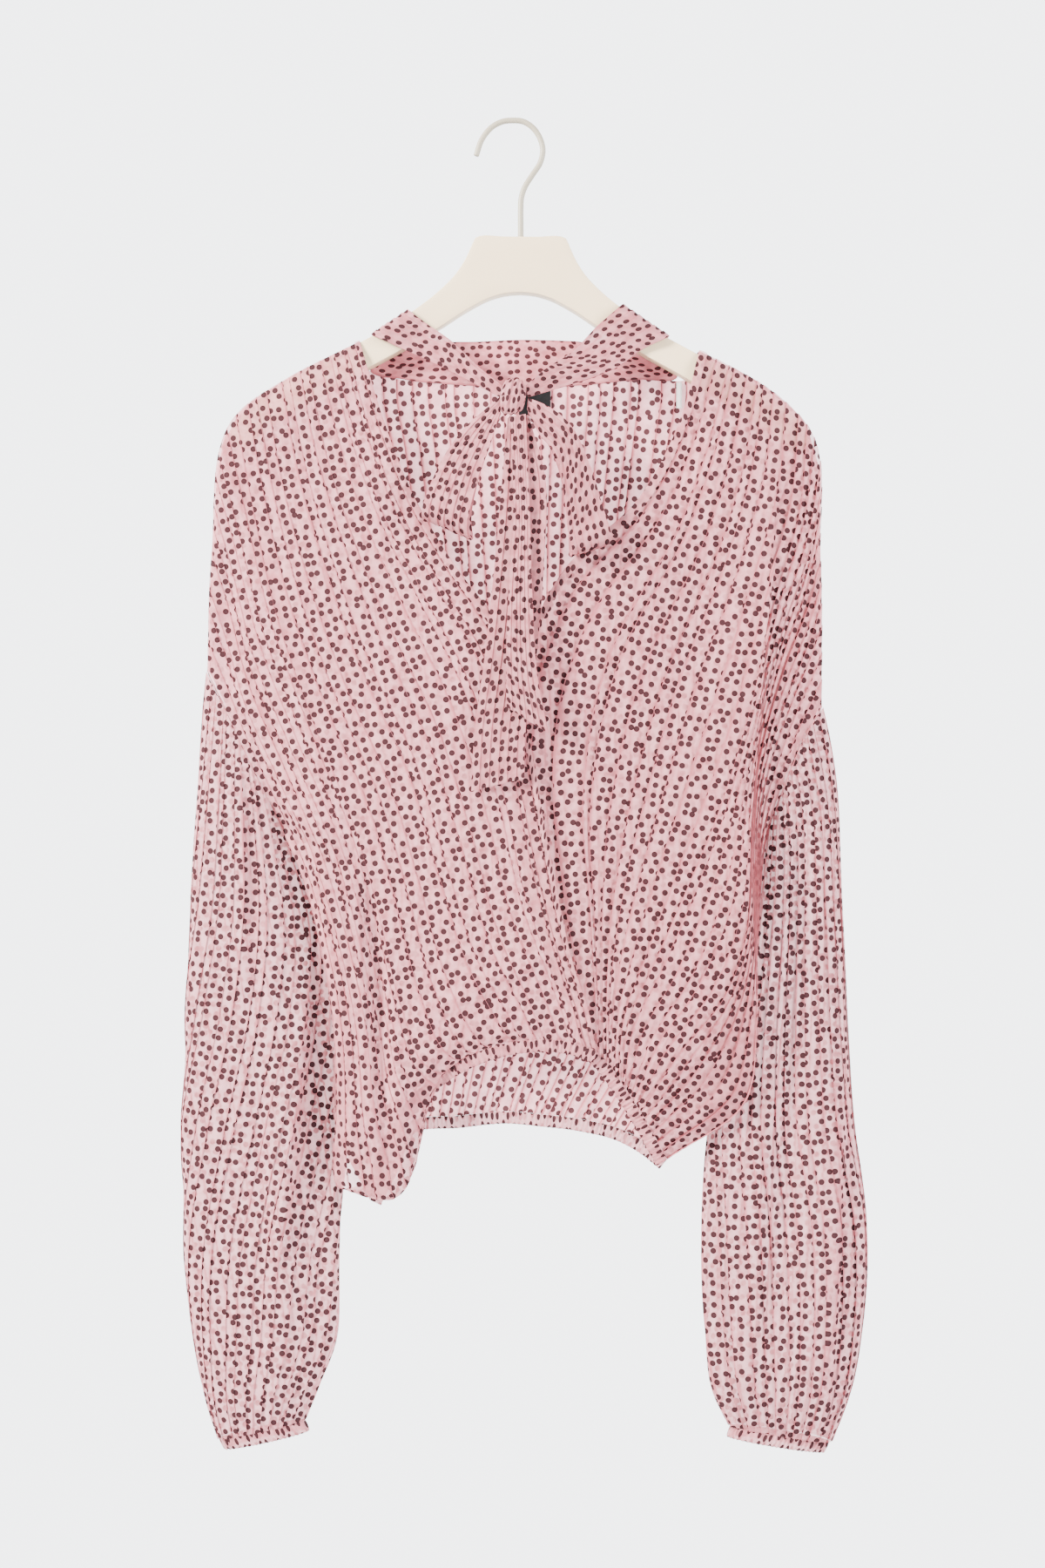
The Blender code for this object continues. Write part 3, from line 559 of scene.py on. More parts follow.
def cloth_sheet(points, prints, closed=False, capped=False):
    """A mesh of quads through a grid of points, with its print as a UV map, and as values the layers of cloth
    at each point together with painted shade.
    """
    rows, columns = points.shape[:2]
    wide = columns - 1 if closed else columns
    kept = points[:, :wide].reshape(-1, 3) * MM
    r, c = np.meshgrid(np.arange(rows - 1), np.arange(columns - 1), indexing="ij")
    corners = [(r, c), (r, c + 1), (r + 1, c + 1), (r + 1, c)]
    faces = np.stack([row * wide + column % wide for row, column in corners], axis=-1)
    faces = faces.reshape(-1, 4).tolist()
    uv = np.stack([prints[row, column, :2] for row, column in corners], axis=2).reshape(-1, 2) * MM
    if capped:
        faces += [list(range(wide))[::-1], list(range(len(kept) - wide, len(kept)))]
        uv = np.concatenate([uv, prints[0, :wide, :2][::-1] * MM, prints[-1, :wide, :2] * MM])
    mesh = bpy.data.meshes.new("cloth")
    mesh.from_pydata(kept.tolist(), [], faces)
    mesh.uv_layers.new(name="print").data.foreach_set("uv", uv.astype(np.float32).ravel())
    # The ply value holds doubled cloth and painted shade alike
    plies_and_shade = prints[:, :wide, 2].astype(np.float32).ravel()
    mesh.attributes.new("ply_and_shade", "FLOAT", "POINT").data.foreach_set("value", plies_and_shade)
    piece = added("cloth", mesh)
    bpy.ops.object.select_all(action="DESELECT")
    piece.select_set(True)
    bpy.context.view_layer.objects.active = piece
    bpy.ops.object.shade_smooth_by_angle(angle=radians(38))
    return piece


PINK = (0.60, 0.262, 0.277)
PINK_DEEP = (0.46, 0.158, 0.175)
# Crease colour: the deeper tone of doubled cloth at the pleat lines, also laid on as painted shade below step
# folds, in gather hollows, in the knot's creases and along band edges
CREASE_AND_SHADE = (0.34, 0.085, 0.105)
CREASE_DEPTH = 0.45
DOT_RIM = (0.012, 0.0026, 0.0038)
DOT_HEART = (0.027, 0.010, 0.012)
DOT_PITCH = 7.2
DOT_RADIUS = 2.1
DOT_SCATTER = 0.56
# What a doubled ply and a dot add to the cover, and how far the ply value, doubled cloth and painted shade
# alike, deepens the ground
PLY_COVER = 0.22
DOT_COVER = 0.36
PLY_SHADE = -0.55


def pleated_chiffon(name, cover, glow, ink=0.97, painted_light=1.0):
    """Sheer crepe chiffon with its printed dots, its darker pleat lines where doubled cloth shows through,
    and painted shade where the ply value is raised for it.

    cover is its share of thread, glow the light through that, ink how deep the dots are, and
    the last one how much lighter its ground is painted, as painted light.
    """
    material, tree, output = material_started(name)
    place = node_made(tree, "UVMap", uv_map="print")
    plies_and_shade = node_made(tree, "Attribute", attribute_name="ply_and_shade")
    cloud, crepe, crinkle = grain_node(tree, 120.0, 3.0), grain_node(tree, 2200.0), grain_node(tree, 420.0)
    stretch = node_made(tree, "Mapping", {"Scale": (1.0, 0.08, 1.0)})
    spots = node_made(tree, "TexVoronoi", {"Scale": 1000 / DOT_PITCH, "Randomness": DOT_SCATTER},
                      voronoi_dimensions="2D", feature="F1")
    radius = DOT_RADIUS / DOT_PITCH
    mask = ramp_node(tree, radius * 1.05, radius * 0.95, high=ink)
    rim = ramp_node(tree, radius * 0.45, radius * 0.95)
    dot_colour = blend_node(tree, first=DOT_HEART, second=DOT_RIM)
    in_sight = ramp_node(tree, 0.99, 0.92, smooth=False)
    dots = node_made(tree, "Math", operation="MULTIPLY")
    patches = ramp_node(tree, 0.32, 0.62, smooth=False)
    ground = blend_node(tree, first=[c * painted_light for c in PINK_DEEP], second=[c * painted_light for c in PINK])
    line = ramp_node(tree, 0.45, 0.92, high=CREASE_DEPTH)
    creased_and_shaded, colour = blend_node(tree, second=CREASE_AND_SHADE), blend_node(tree)
    heights = node_made(tree, "Math", {1: 0.25}, operation="MULTIPLY_ADD")
    bump = bump_node(tree, 0.45, 0.0005)
    density = ramp_node(tree, 0, 1, cover - 0.05, cover + 0.05, smooth=False)
    single, layered, covered = [
        node_made(tree, "Math", {1: share}, operation="MULTIPLY_ADD", use_clamp=True)
        for share in (PLY_SHADE, PLY_COVER, DOT_COVER)]
    face = node_made(tree, "BsdfPrincipled", {"Roughness": 0.75, "Specular IOR Level": 0.04})
    through, gaps = node_made(tree, "BsdfTranslucent"), node_made(tree, "BsdfTransparent")
    thread, cloth = node_made(tree, "MixShader", {0: glow}), node_made(tree, "MixShader")
    wired(tree, (place, "UV", spots, "Vector"), (place, "UV", cloud, "Vector"),
          (place, "UV", crepe, "Vector"), (place, "UV", stretch, "Vector"),
          (stretch, "Vector", crinkle, "Vector"), (spots, "Distance", mask, "Value"),
          (spots, "Distance", rim, "Value"), (rim, "Result", dot_colour, 0),
          (plies_and_shade, "Fac", in_sight, "Value"), (mask, "Result", dots, 0), (in_sight, "Result", dots, 1),
          (cloud, "Fac", patches, "Value"), (plies_and_shade, "Fac", single, 0), (patches, "Result", single, 2),
          (single, "Value", ground, 0), (plies_and_shade, "Fac", line, "Value"), (line, "Result", creased_and_shaded, 0),
          (ground, MIX_RESULT, creased_and_shaded, MIX_FIRST), (dots, "Value", colour, 0),
          (creased_and_shaded, MIX_RESULT, colour, MIX_FIRST), (dot_colour, MIX_RESULT, colour, MIX_SECOND),
          (crepe, "Fac", heights, 0), (crinkle, "Fac", heights, 2), (heights, "Value", bump, "Height"),
          (cloud, "Fac", density, "Value"), (plies_and_shade, "Fac", layered, 0), (density, "Result", layered, 2),
          (dots, "Value", covered, 0), (layered, "Value", covered, 2),
          (colour, MIX_RESULT, face, "Base Color"), (colour, MIX_RESULT, through, "Color"),
          (bump, "Normal", face, "Normal"), (bump, "Normal", through, "Normal"),
          (face, "BSDF", thread, 1), (through, "BSDF", thread, 2), (covered, "Value", cloth, 0),
          (gaps, "BSDF", cloth, 1), (thread, "Shader", cloth, 2), (cloth, "Shader", output, "Surface"))
    return material


chiffon = pleated_chiffon("pleated_chiffon", cover=0.66, glow=0.30)


def front_panel(seam, table, pleats, folds):
    """One front as a dense sheet, from its shoulder seam to the elastic."""
    body = np.array(list(table.values()), float)
    over = over_the_arm(seam, body[0], FRONT)
    sheet = fine_sheet(np.concatenate([np.array(over), body]), pleats)
    sheet[..., 1] += FRONT * fold_height(sheet[..., 0], sheet[..., 2], folds)
    return sheet


def panel_cloth(sheet, pleats, outward, seed, side, height, doubled_and_shade, turned=True):
    """A panel set in its pleats, rippled, and drawn up on its elastic, as a mesh."""
    points, prints = knife_pleated(sheet, sum(pleats), outward, seed, height, doubled_and_shade, turned=turned)
    return cloth_sheet(drawn_up(rippled(points, seed), seed, side), prints)


right_sheet = front_panel(RIGHT_SEAM, FRONT_RIGHT, RIGHT_PLEATS, RIGHT_FOLDS)
# Pleat lines show faintly on the right pieces and fully on the left ones: the difference is painted shade,
# darker on the side away from the key light
right_front = panel_cloth(right_sheet, RIGHT_PLEATS, 1, 1, FRONT, height=0.6, doubled_and_shade=0.35)
finished(right_front, "right_front", chiffon, "chiffon", "front_right")


# Left front
# The panel that the right one laps over. Its side swings forward in a long soft fold, so its
# pleats run down and in to the crossing at the waist.

LEFT_SEAM = ((135, -165), (156, -175), (183, -190.5), (213, -218), (223, -314), (224, -422))
FRONT_LEFT = {
    "collarbone": ((124, -9.5, -207), (143, -10, -226), (176, -10, -245), (207, -10, -283),
                   (212, -9, -352), (213, -9.2, -441)),
    "upper chest": ((93, -10, -270), (121, -10.5, -289), (160, -11, -307), (191, -12, -340),
                    (197, -11, -390), (200, -10.6, -470)),
    "chest": ((36, -10, -326), (69, -11, -385), (118, -12, -421), (162, -15, -456),
              (174, -13, -485), (184, -1.1, -519)),
    "crossing": ((15, -10, -365), (55, -11, -440), (102, -13, -478), (145, -17, -507),
                 (171, -21, -534), (179, -10, -560)),
    "below the bow": ((2, -10, -434), (50, -11, -497), (88, -13, -532), (124, -18, -557),
                      (167, -24, -582), (176, -14.5, -605)),
    "midriff": ((4, -10, -516), (55, -11, -560), (76, -13, -592), (102, -17, -607),
                (151, -24, -629), (175, -16, -650)),
    "waist": ((26, -10, -604), (59, -11, -620), (71, -12, -636), (84, -14, -648),
              (118, -21, -670), (168, -17, -704)),
    "elastic": ((52, -9, -662), (61.5, -9.5, -671), (70, -10, -680), (79, -10, -693),
                (92, -9, -713), (112, -4, -749)),
}
LEFT_PLEATS = (3, 4, 4, 6, 6)
LEFT_FOLDS = (
    ("step", (189, -290), (169, -540), 50, 9),
    ("step", (170, -520), (177, -668), 38, 8),
    ("ridge", (168, -690), (112, -735), 12, 3),
    ("ridge", (150, -600), (90, -668), 9, -2),
)

left_sheet = front_panel(LEFT_SEAM, FRONT_LEFT, LEFT_PLEATS, LEFT_FOLDS)
left_front = panel_cloth(left_sheet, LEFT_PLEATS, -1, 2, FRONT, height=2.1, doubled_and_shade=1.0)
finished(left_front, "left_front", chiffon, "chiffon", "front_left")


# Back
# One panel from side seam to side seam, set in straight upright pleats. Its inside shows
# through the neck and below the arched front hem.

UNDERARM_ROW = 2
# Columns: x, depth, z along the neck seam, from shoulder to shoulder
BACK_NECK = ((-109, 7.9, -159.6), (-106, 9, -176), (-93, 9.5, -181), (-40, 9.5, -186), (8, 9.5, -188),
             (54, 9.5, -186), (96, 9.5, -182), (129, 9, -182), (133.6, 7.9, -166.4))
BACK_PLEATS = (1, 1, 3, 4, 1, 1, 1, 5, 4, 4, 4, 3, 1, 1, 4, 2, 1, 1)
BACK_HEM = ((-103, 2.0, -779), (-92, 6, -757), (-77, 8, -725), (-37, 9, -719), (-2, 9, -716), (20, 9, -718),
            (52, 9, -722), (80, 7, -729), (99, 3, -739), (112, -1.2, -749))
BACK_DEPTH = 9.5
BACK_BELLY = 3.5
BACK_TURN = 0.16
NECK_ROWS = (0, 4, 9)
NECK_PULL = 2.5
HEM_PULL = 3


def back_edge(table, seam_rows, end):
    """The back's edge beside one front: level with its armhole, then close behind its side seam."""
    edge = [seam_rows[-1][-1]]
    rows = [row for name, row in table.items() if name not in ("pouch", "turn", "elastic")]
    for i, row in enumerate(rows):
        x, y, z = row[-1]
        edge.append(np.array((x, -y if i < UNDERARM_ROW else y + 2 * SEAM_DEPTH, z)))
    return edge + [np.array(end)]


def back_panel():
    """The back as a dense sheet, blended between its seams, its neck and its hem."""
    right = over_the_arm(RIGHT_SEAM, FRONT_RIGHT["collarbone"], BACK)
    left = over_the_arm(LEFT_SEAM, FRONT_LEFT["collarbone"], BACK)
    places = [even_places(ACROSS * count) for count in BACK_PLEATS]
    top = []
    for i, drop in enumerate(NECK_ROWS):
        neck = np.array(BACK_NECK, float) - (0, 0, drop)
        right_shoulder = np.delete(right[i], 1, axis=0)[::-1]
        left_shoulder = np.delete(left[i], 1, axis=0)
        links = [np.array([right_shoulder[-1], neck[0]]), np.array([neck[-1], left_shoulder[0]])]
        row, first = [], 0
        for run in (right_shoulder, links[0], neck, links[1], left_shoulder):
            spans = len(run) - 1
            row = row[:-1] + list(smoothed(run, places[first:first + spans]))
            first += spans
        top.append(np.array(row))
    shares = np.linspace(0, 1, ACROSS * sum(BACK_PLEATS) + 1)
    hem = along_curve(smooth_curve(BACK_HEM, 16), shares)
    right_edge = back_edge(FRONT_RIGHT, right, BACK_HEM[0])
    left_edge = back_edge(FRONT_LEFT, left, BACK_HEM[-1])
    near = np.clip(np.minimum(shares, 1 - shares) / BACK_TURN, 0, 1)
    turn = near * near * (3 - 2 * near)
    last = len(right_edge) - 1
    rows = []
    for i in range(1, last + 1):
        down = i / last
        point = right_edge[i] + np.outer(shares, left_edge[i] - right_edge[i])
        from_top = top[-1] - (top[-1][0] + np.outer(shares, top[-1][-1] - top[-1][0]))
        from_hem = hem - (hem[0] + np.outer(shares, hem[-1] - hem[0]))
        x = point[:, 0] + from_top[:, 0] * (1 - down) ** NECK_PULL + from_hem[:, 0] * down ** HEM_PULL
        z = point[:, 2] + from_top[:, 2] * (1 - down) + from_hem[:, 2] * down
        y = point[:, 1] + (BACK_DEPTH + BACK_BELLY * sin(pi * down) - point[:, 1]) * turn
        rows.append(np.column_stack([x, hem[:, 1] if i == last else y, z]))
    guide = np.array(top + rows)
    return smoothed(guide, row_places(guide))


back_sheet = back_panel()
back = panel_cloth(back_sheet, BACK_PLEATS, -1, 3, BACK, height=1.2, doubled_and_shade=0.7, turned=False)
# The back's material: paler dots, as the print is seen from its reverse, and a ground painted lighter, as
# painted light from the bright room behind
lightened_reverse = pleated_chiffon("pleated_chiffon_back_lightened", cover=0.89, glow=0.48, ink=0.93, painted_light=1.25)
finished(back, "back_panel", lightened_reverse, "chiffon", "back")


# Sleeves
# Two long full sleeves set into dropped armholes, pleated along their length, hanging flat
# and falling in a few soft folds to the elastic at the wrist.

# Columns: outer edge x and z, inner edge x and z, middle depth, half depth, squareness
SLEEVE_RIGHT = {
    "armhole": (-221.3, -396.8, -168.8, -508.8, 0, 10.9, 2.0),
    "upper arm": (-227, -478, -157, -540, 0, 12, 2.2),
    "above the elbow": (-232, -560, -143, -585, 0, 13, 2.4),
    "elbow": (-236, -640, -134, -655, 0, 14, 2.6),
    "below the elbow": (-239, -730, -128, -735, 0, 15, 2.6),
    "forearm": (-237, -820, -123, -820, 0, 16, 2.4),
    "balloon": (-229, -885, -128, -882, 0, 16, 2.2),
    "above the wrist": (-221, -925, -139, -912, 0, 14, 2.0),
    "wrist": (-213, -951, -149, -937, 0, 9, 2.0),
}
SLEEVE_RIGHT_FOLDS = (
    ("step", (-195, -475), (-190, -610), 20, 5),
    ("step", (-142, -585), (-163, -790), 26, 15),
    ("ridge", (-145, -640), (-138, -860), 14, -5),
    ("ridge", (-172, -560), (-165, -880), 14, 4),
)
SLEEVE_LEFT = {
    "armhole": (225.3, -422.6, 186.4, -518.8, 0, 10.7, 2.0),
    "upper arm": (234, -470, 177, -560, 4, 10.5, 2.2),
    "above the elbow": (239, -560, 164, -612, 5, 12, 2.4),
    "elbow": (243, -650, 152, -672, 8, 13, 2.6),
    "below the elbow": (247, -720, 143, -732, 7, 14, 2.6),
    "forearm": (257, -800, 139, -800, 4, 16, 2.4),
    "balloon": (254, -865, 140, -870, 1, 16, 2.2),
    "above the wrist": (244, -918, 146, -918, 0, 14, 2.0),
    "wrist": (231, -953, 157, -941, 0, 9, 2.0),
}
SLEEVE_LEFT_FOLDS = (
    ("step", (238, -700), (226, -945), 34, 9),
    ("ridge", (205, -560), (195, -820), 14, -5),
    ("ridge", (180, -700), (170, -900), 14, 4),
)
SLEEVE_PLEATS = 26
RING_POINTS = 192
# How far each armhole bends inward, deepest a third of the way down
ARMHOLE_BOW = {RIGHT: 0.8, LEFT: 4.4}
BOW_PEAK = 27 / 4
# How far a sleeve's inner edge reaches behind the body, by row
SLEEVE_TUCK = {
    RIGHT: (3, 8, 14, 15, 8, -2, 0, 0, 0),
    LEFT: (6, 4, 0, 0, 0, 0, 0, 0, 0),
}
# How far back the inner edge leans there, and the reach at which it leans fully
TUCK_LEAN = 13.0
TUCK_FULL = 8
# Rows over which the sleeve's folds rise from the armhole
FOLD_RISE = 12
# How far the pleats have swung round each sleeve, by row, as a share of the way round
SLEEVE_TWIST = {
    RIGHT: (0, 0.01, 0.03, 0.07, 0.13, 0.19, 0.22, 0.24, 0.25),
    LEFT: (0, 0.0, 0.01, 0.02, 0.03, 0.05, 0.06, 0.07, 0.07),
}


def flat_ring(row, samples, twist=0.0):
    """A flattened ring between the sleeve's two edges, evenly sampled: along the front, home by the back."""
    outer_x, outer_z, inner_x, inner_z, middle, half_depth, squareness = row
    angle = np.linspace(0, 2 * pi, RING_POINTS + 1)
    part = (1 - np.cos(angle)) / 2
    deep = (1 - np.abs(np.cos(angle)) ** squareness) ** (1 / squareness)
    side = np.where(angle < pi, FRONT, BACK)
    ring = np.column_stack([outer_x + (inner_x - outer_x) * part, middle + half_depth * deep * side,
                            outer_z + (inner_z - outer_z) * part])
    return along_curve(ring, np.mod(np.linspace(0, 1, samples + 1) - twist, 1))


def bowed(ring, row, side):
    """The armhole's ring, bent towards the body to follow its curved seam."""
    chord = np.array((row[2] - row[0], row[3] - row[1]))
    inward = side * np.array((chord[1], -chord[0])) / np.hypot(*chord) * ARMHOLE_BOW[side]
    along = ((ring[:, ::2] - (row[0], row[1])) @ chord) / (chord @ chord)
    ring[:, ::2] += np.outer(BOW_PEAK * along * (1 - along) ** 2, inward)
    return ring


def sleeve_tube(table, folds, side):
    """One sleeve as a dense closed sheet with its soft folds; its inner edge goes on behind the body."""
    rings = []
    for row, reach, twist in zip(table.values(), SLEEVE_TUCK[side], SLEEVE_TWIST[side]):
        tucked = (*row[:2], row[2] - side * reach, *row[3:])
        ring = flat_ring(tucked, ACROSS * SLEEVE_PLEATS, twist)
        if not rings:
            ring = bowed(ring, row, side)
        inward = np.clip((ring[:, 0] - row[0]) / (row[2] - row[0]), 0, 1)
        ring[:, 1] += TUCK_LEAN * min(reach / TUCK_FULL, 1) * inward ** 3
        rings.append(ring)
    places = row_places(rings)
    tube = smoothed(rings, places)
    settings = smoothed(np.array(list(table.values()), float)[:, 4:6], places)
    middle, depth = settings[:, :1], settings[:, 1:]
    layer = np.where(tube[..., 1] < middle, FRONT, BACK)
    near_edge = np.clip(np.abs(tube[..., 1] - middle) / depth, 0, 1)
    rising = np.clip(np.arange(len(tube)) / FOLD_RISE, 0, 1)[:, None]
    tube[..., 1] += layer * fold_height(tube[..., 0], tube[..., 2], folds) * near_edge * rising
    tube[:, -1] = tube[:, 0]
    return tube


# The sleeves differ the same way: the fuller pleat lines on the left sleeve are painted shade
for name, node, table, folds, side, height, doubled_and_shade, front in (
        ("right_sleeve", "sleeve_right", SLEEVE_RIGHT, SLEEVE_RIGHT_FOLDS, RIGHT, 0.9, 0.5, "right_front"),
        ("left_sleeve", "sleeve_left", SLEEVE_LEFT, SLEEVE_LEFT_FOLDS, LEFT, 1.6, 1.0, "left_front")):
    tube = sleeve_tube(table, folds, side)
    points, prints = knife_pleated(tube, SLEEVE_PLEATS, -side, 5 + side, height, doubled_and_shade, closed=True)
    # Painted shade below the sleeve's step folds, carried in the ply value
    prints = with_painted_fold_shade(points, prints, folds)
    sleeve = cloth_sheet(rippled(points, 5 + side), prints, closed=True)
    finished(sleeve, name, chiffon, "chiffon", node)


# Elastic casings
# Narrow elastic in a turned casing of the same cloth, one run along the lower edge of each
# panel, with the cloth drawn up on it in small gathers.

CASING = 9.0
CASING_THICK = 2.2
CASING_SECTION = 14
GATHER_PITCH = 3.2
GATHER_HEIGHT = 0.55
GATHER_STEP = 0.8
# How far the gathers sway the free edge, and the cloth they take up for each millimetre of it
GATHER_SWAY = 0.25
GATHER_CLOTH = 1.7
# How strongly painted shade darkens the hollows between them, and the stretch over which a ring of them
# closes
GATHER_SHADE = 0.6
GATHER_BLEND = 8


def gathered_band(edge, away, out, width, seed, closed=False):
    """A flat tube of gathered cloth below an edge: points and print coordinates in millimetres."""
    run = run_along(edge)
    ripple = gathers(run, seed, GATHER_PITCH)
    if closed:
        blend = np.clip((run[-1] - run) / GATHER_BLEND, 0, 1)
        ripple = ripple * blend + ripple[0] * (1 - blend)
    points, prints = [], []
    for m in range(CASING_SECTION + 1):
        angle = 2 * pi * m / CASING_SECTION
        reach = (1 - cos(angle)) / 2
        bulge = abs(sin(angle)) ** 0.6 * (1 if sin(angle) >= 0 else -1)
        drawn = 0.55 + 0.45 * cos(pi * reach)
        lift = bulge * CASING_THICK / 2 + ripple * GATHER_HEIGHT * (0.35 + 0.65 * drawn)
        fall = reach * width + GATHER_SWAY * ripple * reach
        points.append(edge + away * fall[:, None] + out * lift[:, None])
        place = np.full(len(run), 2 * width * m / CASING_SECTION)
        # The third column is painted shade in the hollows of the gathers
        prints.append(np.column_stack([run * GATHER_CLOTH, place, np.clip(-GATHER_SHADE * ripple, 0, 0.8)]))
    points[-1] = points[0]
    return np.array(points), np.array(prints)


def even_run(edge):
    """An edge sampled again at about the gathers' step."""
    return along_curve(edge, np.linspace(0, 1, max(8, round(run_along(edge)[-1] / GATHER_STEP)) + 1))


# Where the right front's elastic runs, behind the pouch at its outer end
RIGHT_ELASTIC = ((61, -15, -669), (42, -14, -663), (8, -13, -662), (-43, -12, -679),
                 (-76, -8, -707), (-95, -3, -740), (-105, 0, -765))


def panel_casing(edge, above, side, seed):
    """The elastic casing along the lower edge of a panel."""
    edge = even_run(edge)
    above = along_curve(np.asarray(above, float), np.linspace(0, 1, len(edge)))
    along = np.gradient(edge, axis=0)
    away = unit(np.column_stack([along[:, 2], np.zeros(len(edge)), -along[:, 0]]))
    facing = np.sign(((edge - above) * away).sum())
    out = np.zeros_like(edge)
    out[:, 1] = side
    return gathered_band(edge, away * facing, out, CASING, seed)


right_elastic = smooth_curve(RIGHT_ELASTIC, 8)
for panel, node, edge, above, side, seed, length in (
        ("right_front", "waistband_front_right", right_elastic, right_elastic + (-6, 0, 12), FRONT, 11, 0.21),
        ("left_front", "waistband_front_left", left_sheet[-1], left_sheet[-6], FRONT, 12, 0.105),
        ("back_panel", "waistband_back", back_sheet[-1], back_sheet[-6], BACK, 13, 0.25)):
    points, prints = panel_casing(edge, above, side, seed)
    casing = finished(cloth_sheet(points, prints), panel + "_casing", chiffon, "chiffon", node)


# Which way each cuff's casing falls, as x and z, how far it is drawn in, and its ring's points
CUFF_DROP = {RIGHT: (0.43, -0.9), LEFT: (-0.40, -0.92)}
CUFF_DRAW = 0.94
CUFF_RING = 420


def cuff_casing(table, side, seed):
    """The elastic casing below a sleeve, as a drawn-in ring that follows its last row."""
    ring = flat_ring(table["wrist"], CUFF_RING)[:-1]
    ring = (ring - ring.mean(axis=0)) * CUFF_DRAW + ring.mean(axis=0)
    ring = np.concatenate([ring, ring[:1]])
    away = np.zeros_like(ring)
    away[:, 0], away[:, 2] = CUFF_DROP[side]
    across = np.gradient(np.concatenate([ring[-2:-1], ring, ring[1:2]]), axis=0)[1:-1]
    out = unit(np.cross(away, across) * -side)
    return gathered_band(ring, away, out, CASING, seed, closed=True)


for name, node, table, side in (
        ("right_cuff", "cuff_right", SLEEVE_RIGHT, RIGHT), ("left_cuff", "cuff_left", SLEEVE_LEFT, LEFT)):
    points, prints = cuff_casing(table, side, 20 + side)
    cuff = finished(cloth_sheet(points, prints), name, chiffon, "chiffon", node)


# Neck band and bow
# One long band of the same pleated cloth, folded double with its pleats running along it. It
# is sewn round the back of the neck and its loose ends are tied in a bow.

# Columns: lower edge, upper edge; from over the right arm, behind the board, to over the left arm
NECKBAND_BACK = (
    ((-101, 0.9, -153.4), (-74, 0.9, -136)),
    ((-101, 7.4, -154.6), (-74, 7.4, -137.2)),
    ((-103, 9.0, -178), (-69, 9.0, -149)),
    ((-80, 9.3, -183.6), (-52, 9.3, -156)),
    ((-40, 9.3, -187.6), (-36, 9.3, -156.5)),
    ((8, 9.3, -189.5), (8, 9.3, -155)),
    ((54, 9.3, -187.6), (45, 9.3, -156)),
    ((92, 9.3, -184), (64, 9.3, -157)),
    ((120, 9.0, -182.6), (76, 9.0, -150)),
    ((113, 7.4, -156), (79, 7.4, -133.2)),
    ((113, 0.9, -154.6), (79, 0.9, -132)),
)
# Columns: lower edge, upper edge; from over the arm to the knot
STRAP_RIGHT = (
    ((-101, -0.9, -153.4), (-74, -0.9, -136)),
    ((-101, -7.4, -154.6), (-74, -7.4, -137.2)),
    ((-79, -9, -165), (-60, -9, -148)),
    ((-54, -12, -177), (-46, -12, -158)),
    ((-26, -17, -192), (-22, -17, -181)),
    ((-8.6, -20.5, -202), (-6.9, -20.5, -193.5)),
)
STRAP_LEFT = (
    ((113, -0.9, -154.6), (79, -0.9, -132)),
    ((113, -7.4, -156), (79, -7.4, -133.2)),
    ((93, -9, -166), (62, -9, -148)),
    ((77, -12, -178), (43, -12, -168)),
    ((36, -17, -194), (24, -17, -181)),
    ((11.6, -20.5, -202), (9.9, -20.5, -193.5)),
)
# Columns: outer edge, inner edge; from the knot, down the front, round the end and up behind
LOOP_RIGHT = (
    ((-8.5, -24, -202), (-7.8, -24, -211)),
    ((-38, -27, -230), (-15, -27, -236)),
    ((-54, -26, -256), (-24, -27, -262)),
    ((-64, -23.5, -286), (-30, -24, -301)),
    ((-63.5, -19.5, -288), (-28, -19.5, -303)),
    ((-59, -16, -282), (-29, -16, -290)),
    ((-44, -16, -248), (-21, -16, -250)),
    ((-9.4, -19, -206), (-7.6, -19, -213)),
)
LOOP_LEFT = (
    ((11.6, -24, -203), (10.9, -24, -211)),
    ((25, -27, -209), (20, -27, -230)),
    ((41, -28, -222), (31, -27.5, -243)),
    ((55, -27, -250), (37, -26.5, -272)),
    ((64, -25, -278), (40, -25, -298)),
    ((71, -22.5, -305), (43, -22.5, -314)),
    ((70, -18, -306), (42, -18, -315)),
    ((62, -15.5, -276), (40, -15.5, -288)),
    ((41, -15.5, -233), (29, -15.5, -241)),
    ((12.4, -19, -206), (11.4, -19, -213)),
)
# Columns: right edge, left edge; from the knot down
TAIL_FRONT = (
    ((-1, -24.2, -216.6), (10, -24.2, -214.6)),
    ((1, -25.5, -289), (13, -25.5, -289)),
    ((-3, -26, -352), (15, -26, -350)),
    ((-4, -26.4, -390), (18, -26.4, -398)),
    ((-4, -26.6, -423), (26, -26.6, -442)),
)
TAIL_BACK = (
    ((-3, -20.3, -216.6), (12, -20.3, -214.6)),
    ((-7, -21.2, -262), (24, -21.2, -262)),
    ((-12, -21.2, -318), (23, -21.2, -318)),
    ((-19, -21.4, -384), (18, -21.4, -384)),
    ((-27, -21.6, -445), (10, -21.6, -440)),
    ((-29, -21.6, -483), (9, -21.6, -474)),
)
BAND_PLEATS = 6
BAND_STEP = 2.5
# Width from which the band's pleats stand at full height, and their least share of it
BAND_FULL = 18
BAND_LEAST = 0.35
# How far the band wanders out of its run, and over what length
BAND_WANDER = 0.35
BAND_WAVE = 21
# How far the print is shifted on the band's other side and at its closing edge
BAND_BACK = 60
BAND_CLOSE = 90
BAND_THICK = 1.3
BAND_RIDGE = 0.7
# Width of the print on a band, as a share of the band's own width there
BAND_PRINT = 1.25
# A fine pleat across one sixth of the band; columns: share of the pleat, height, doubled cloth behind
BAND_SHAPE = ((0.0, 0.0, 0.7), (0.35, 0.4, 0.0), (0.93, 1.0, 0.3), (0.86, 0.35, 0.7))


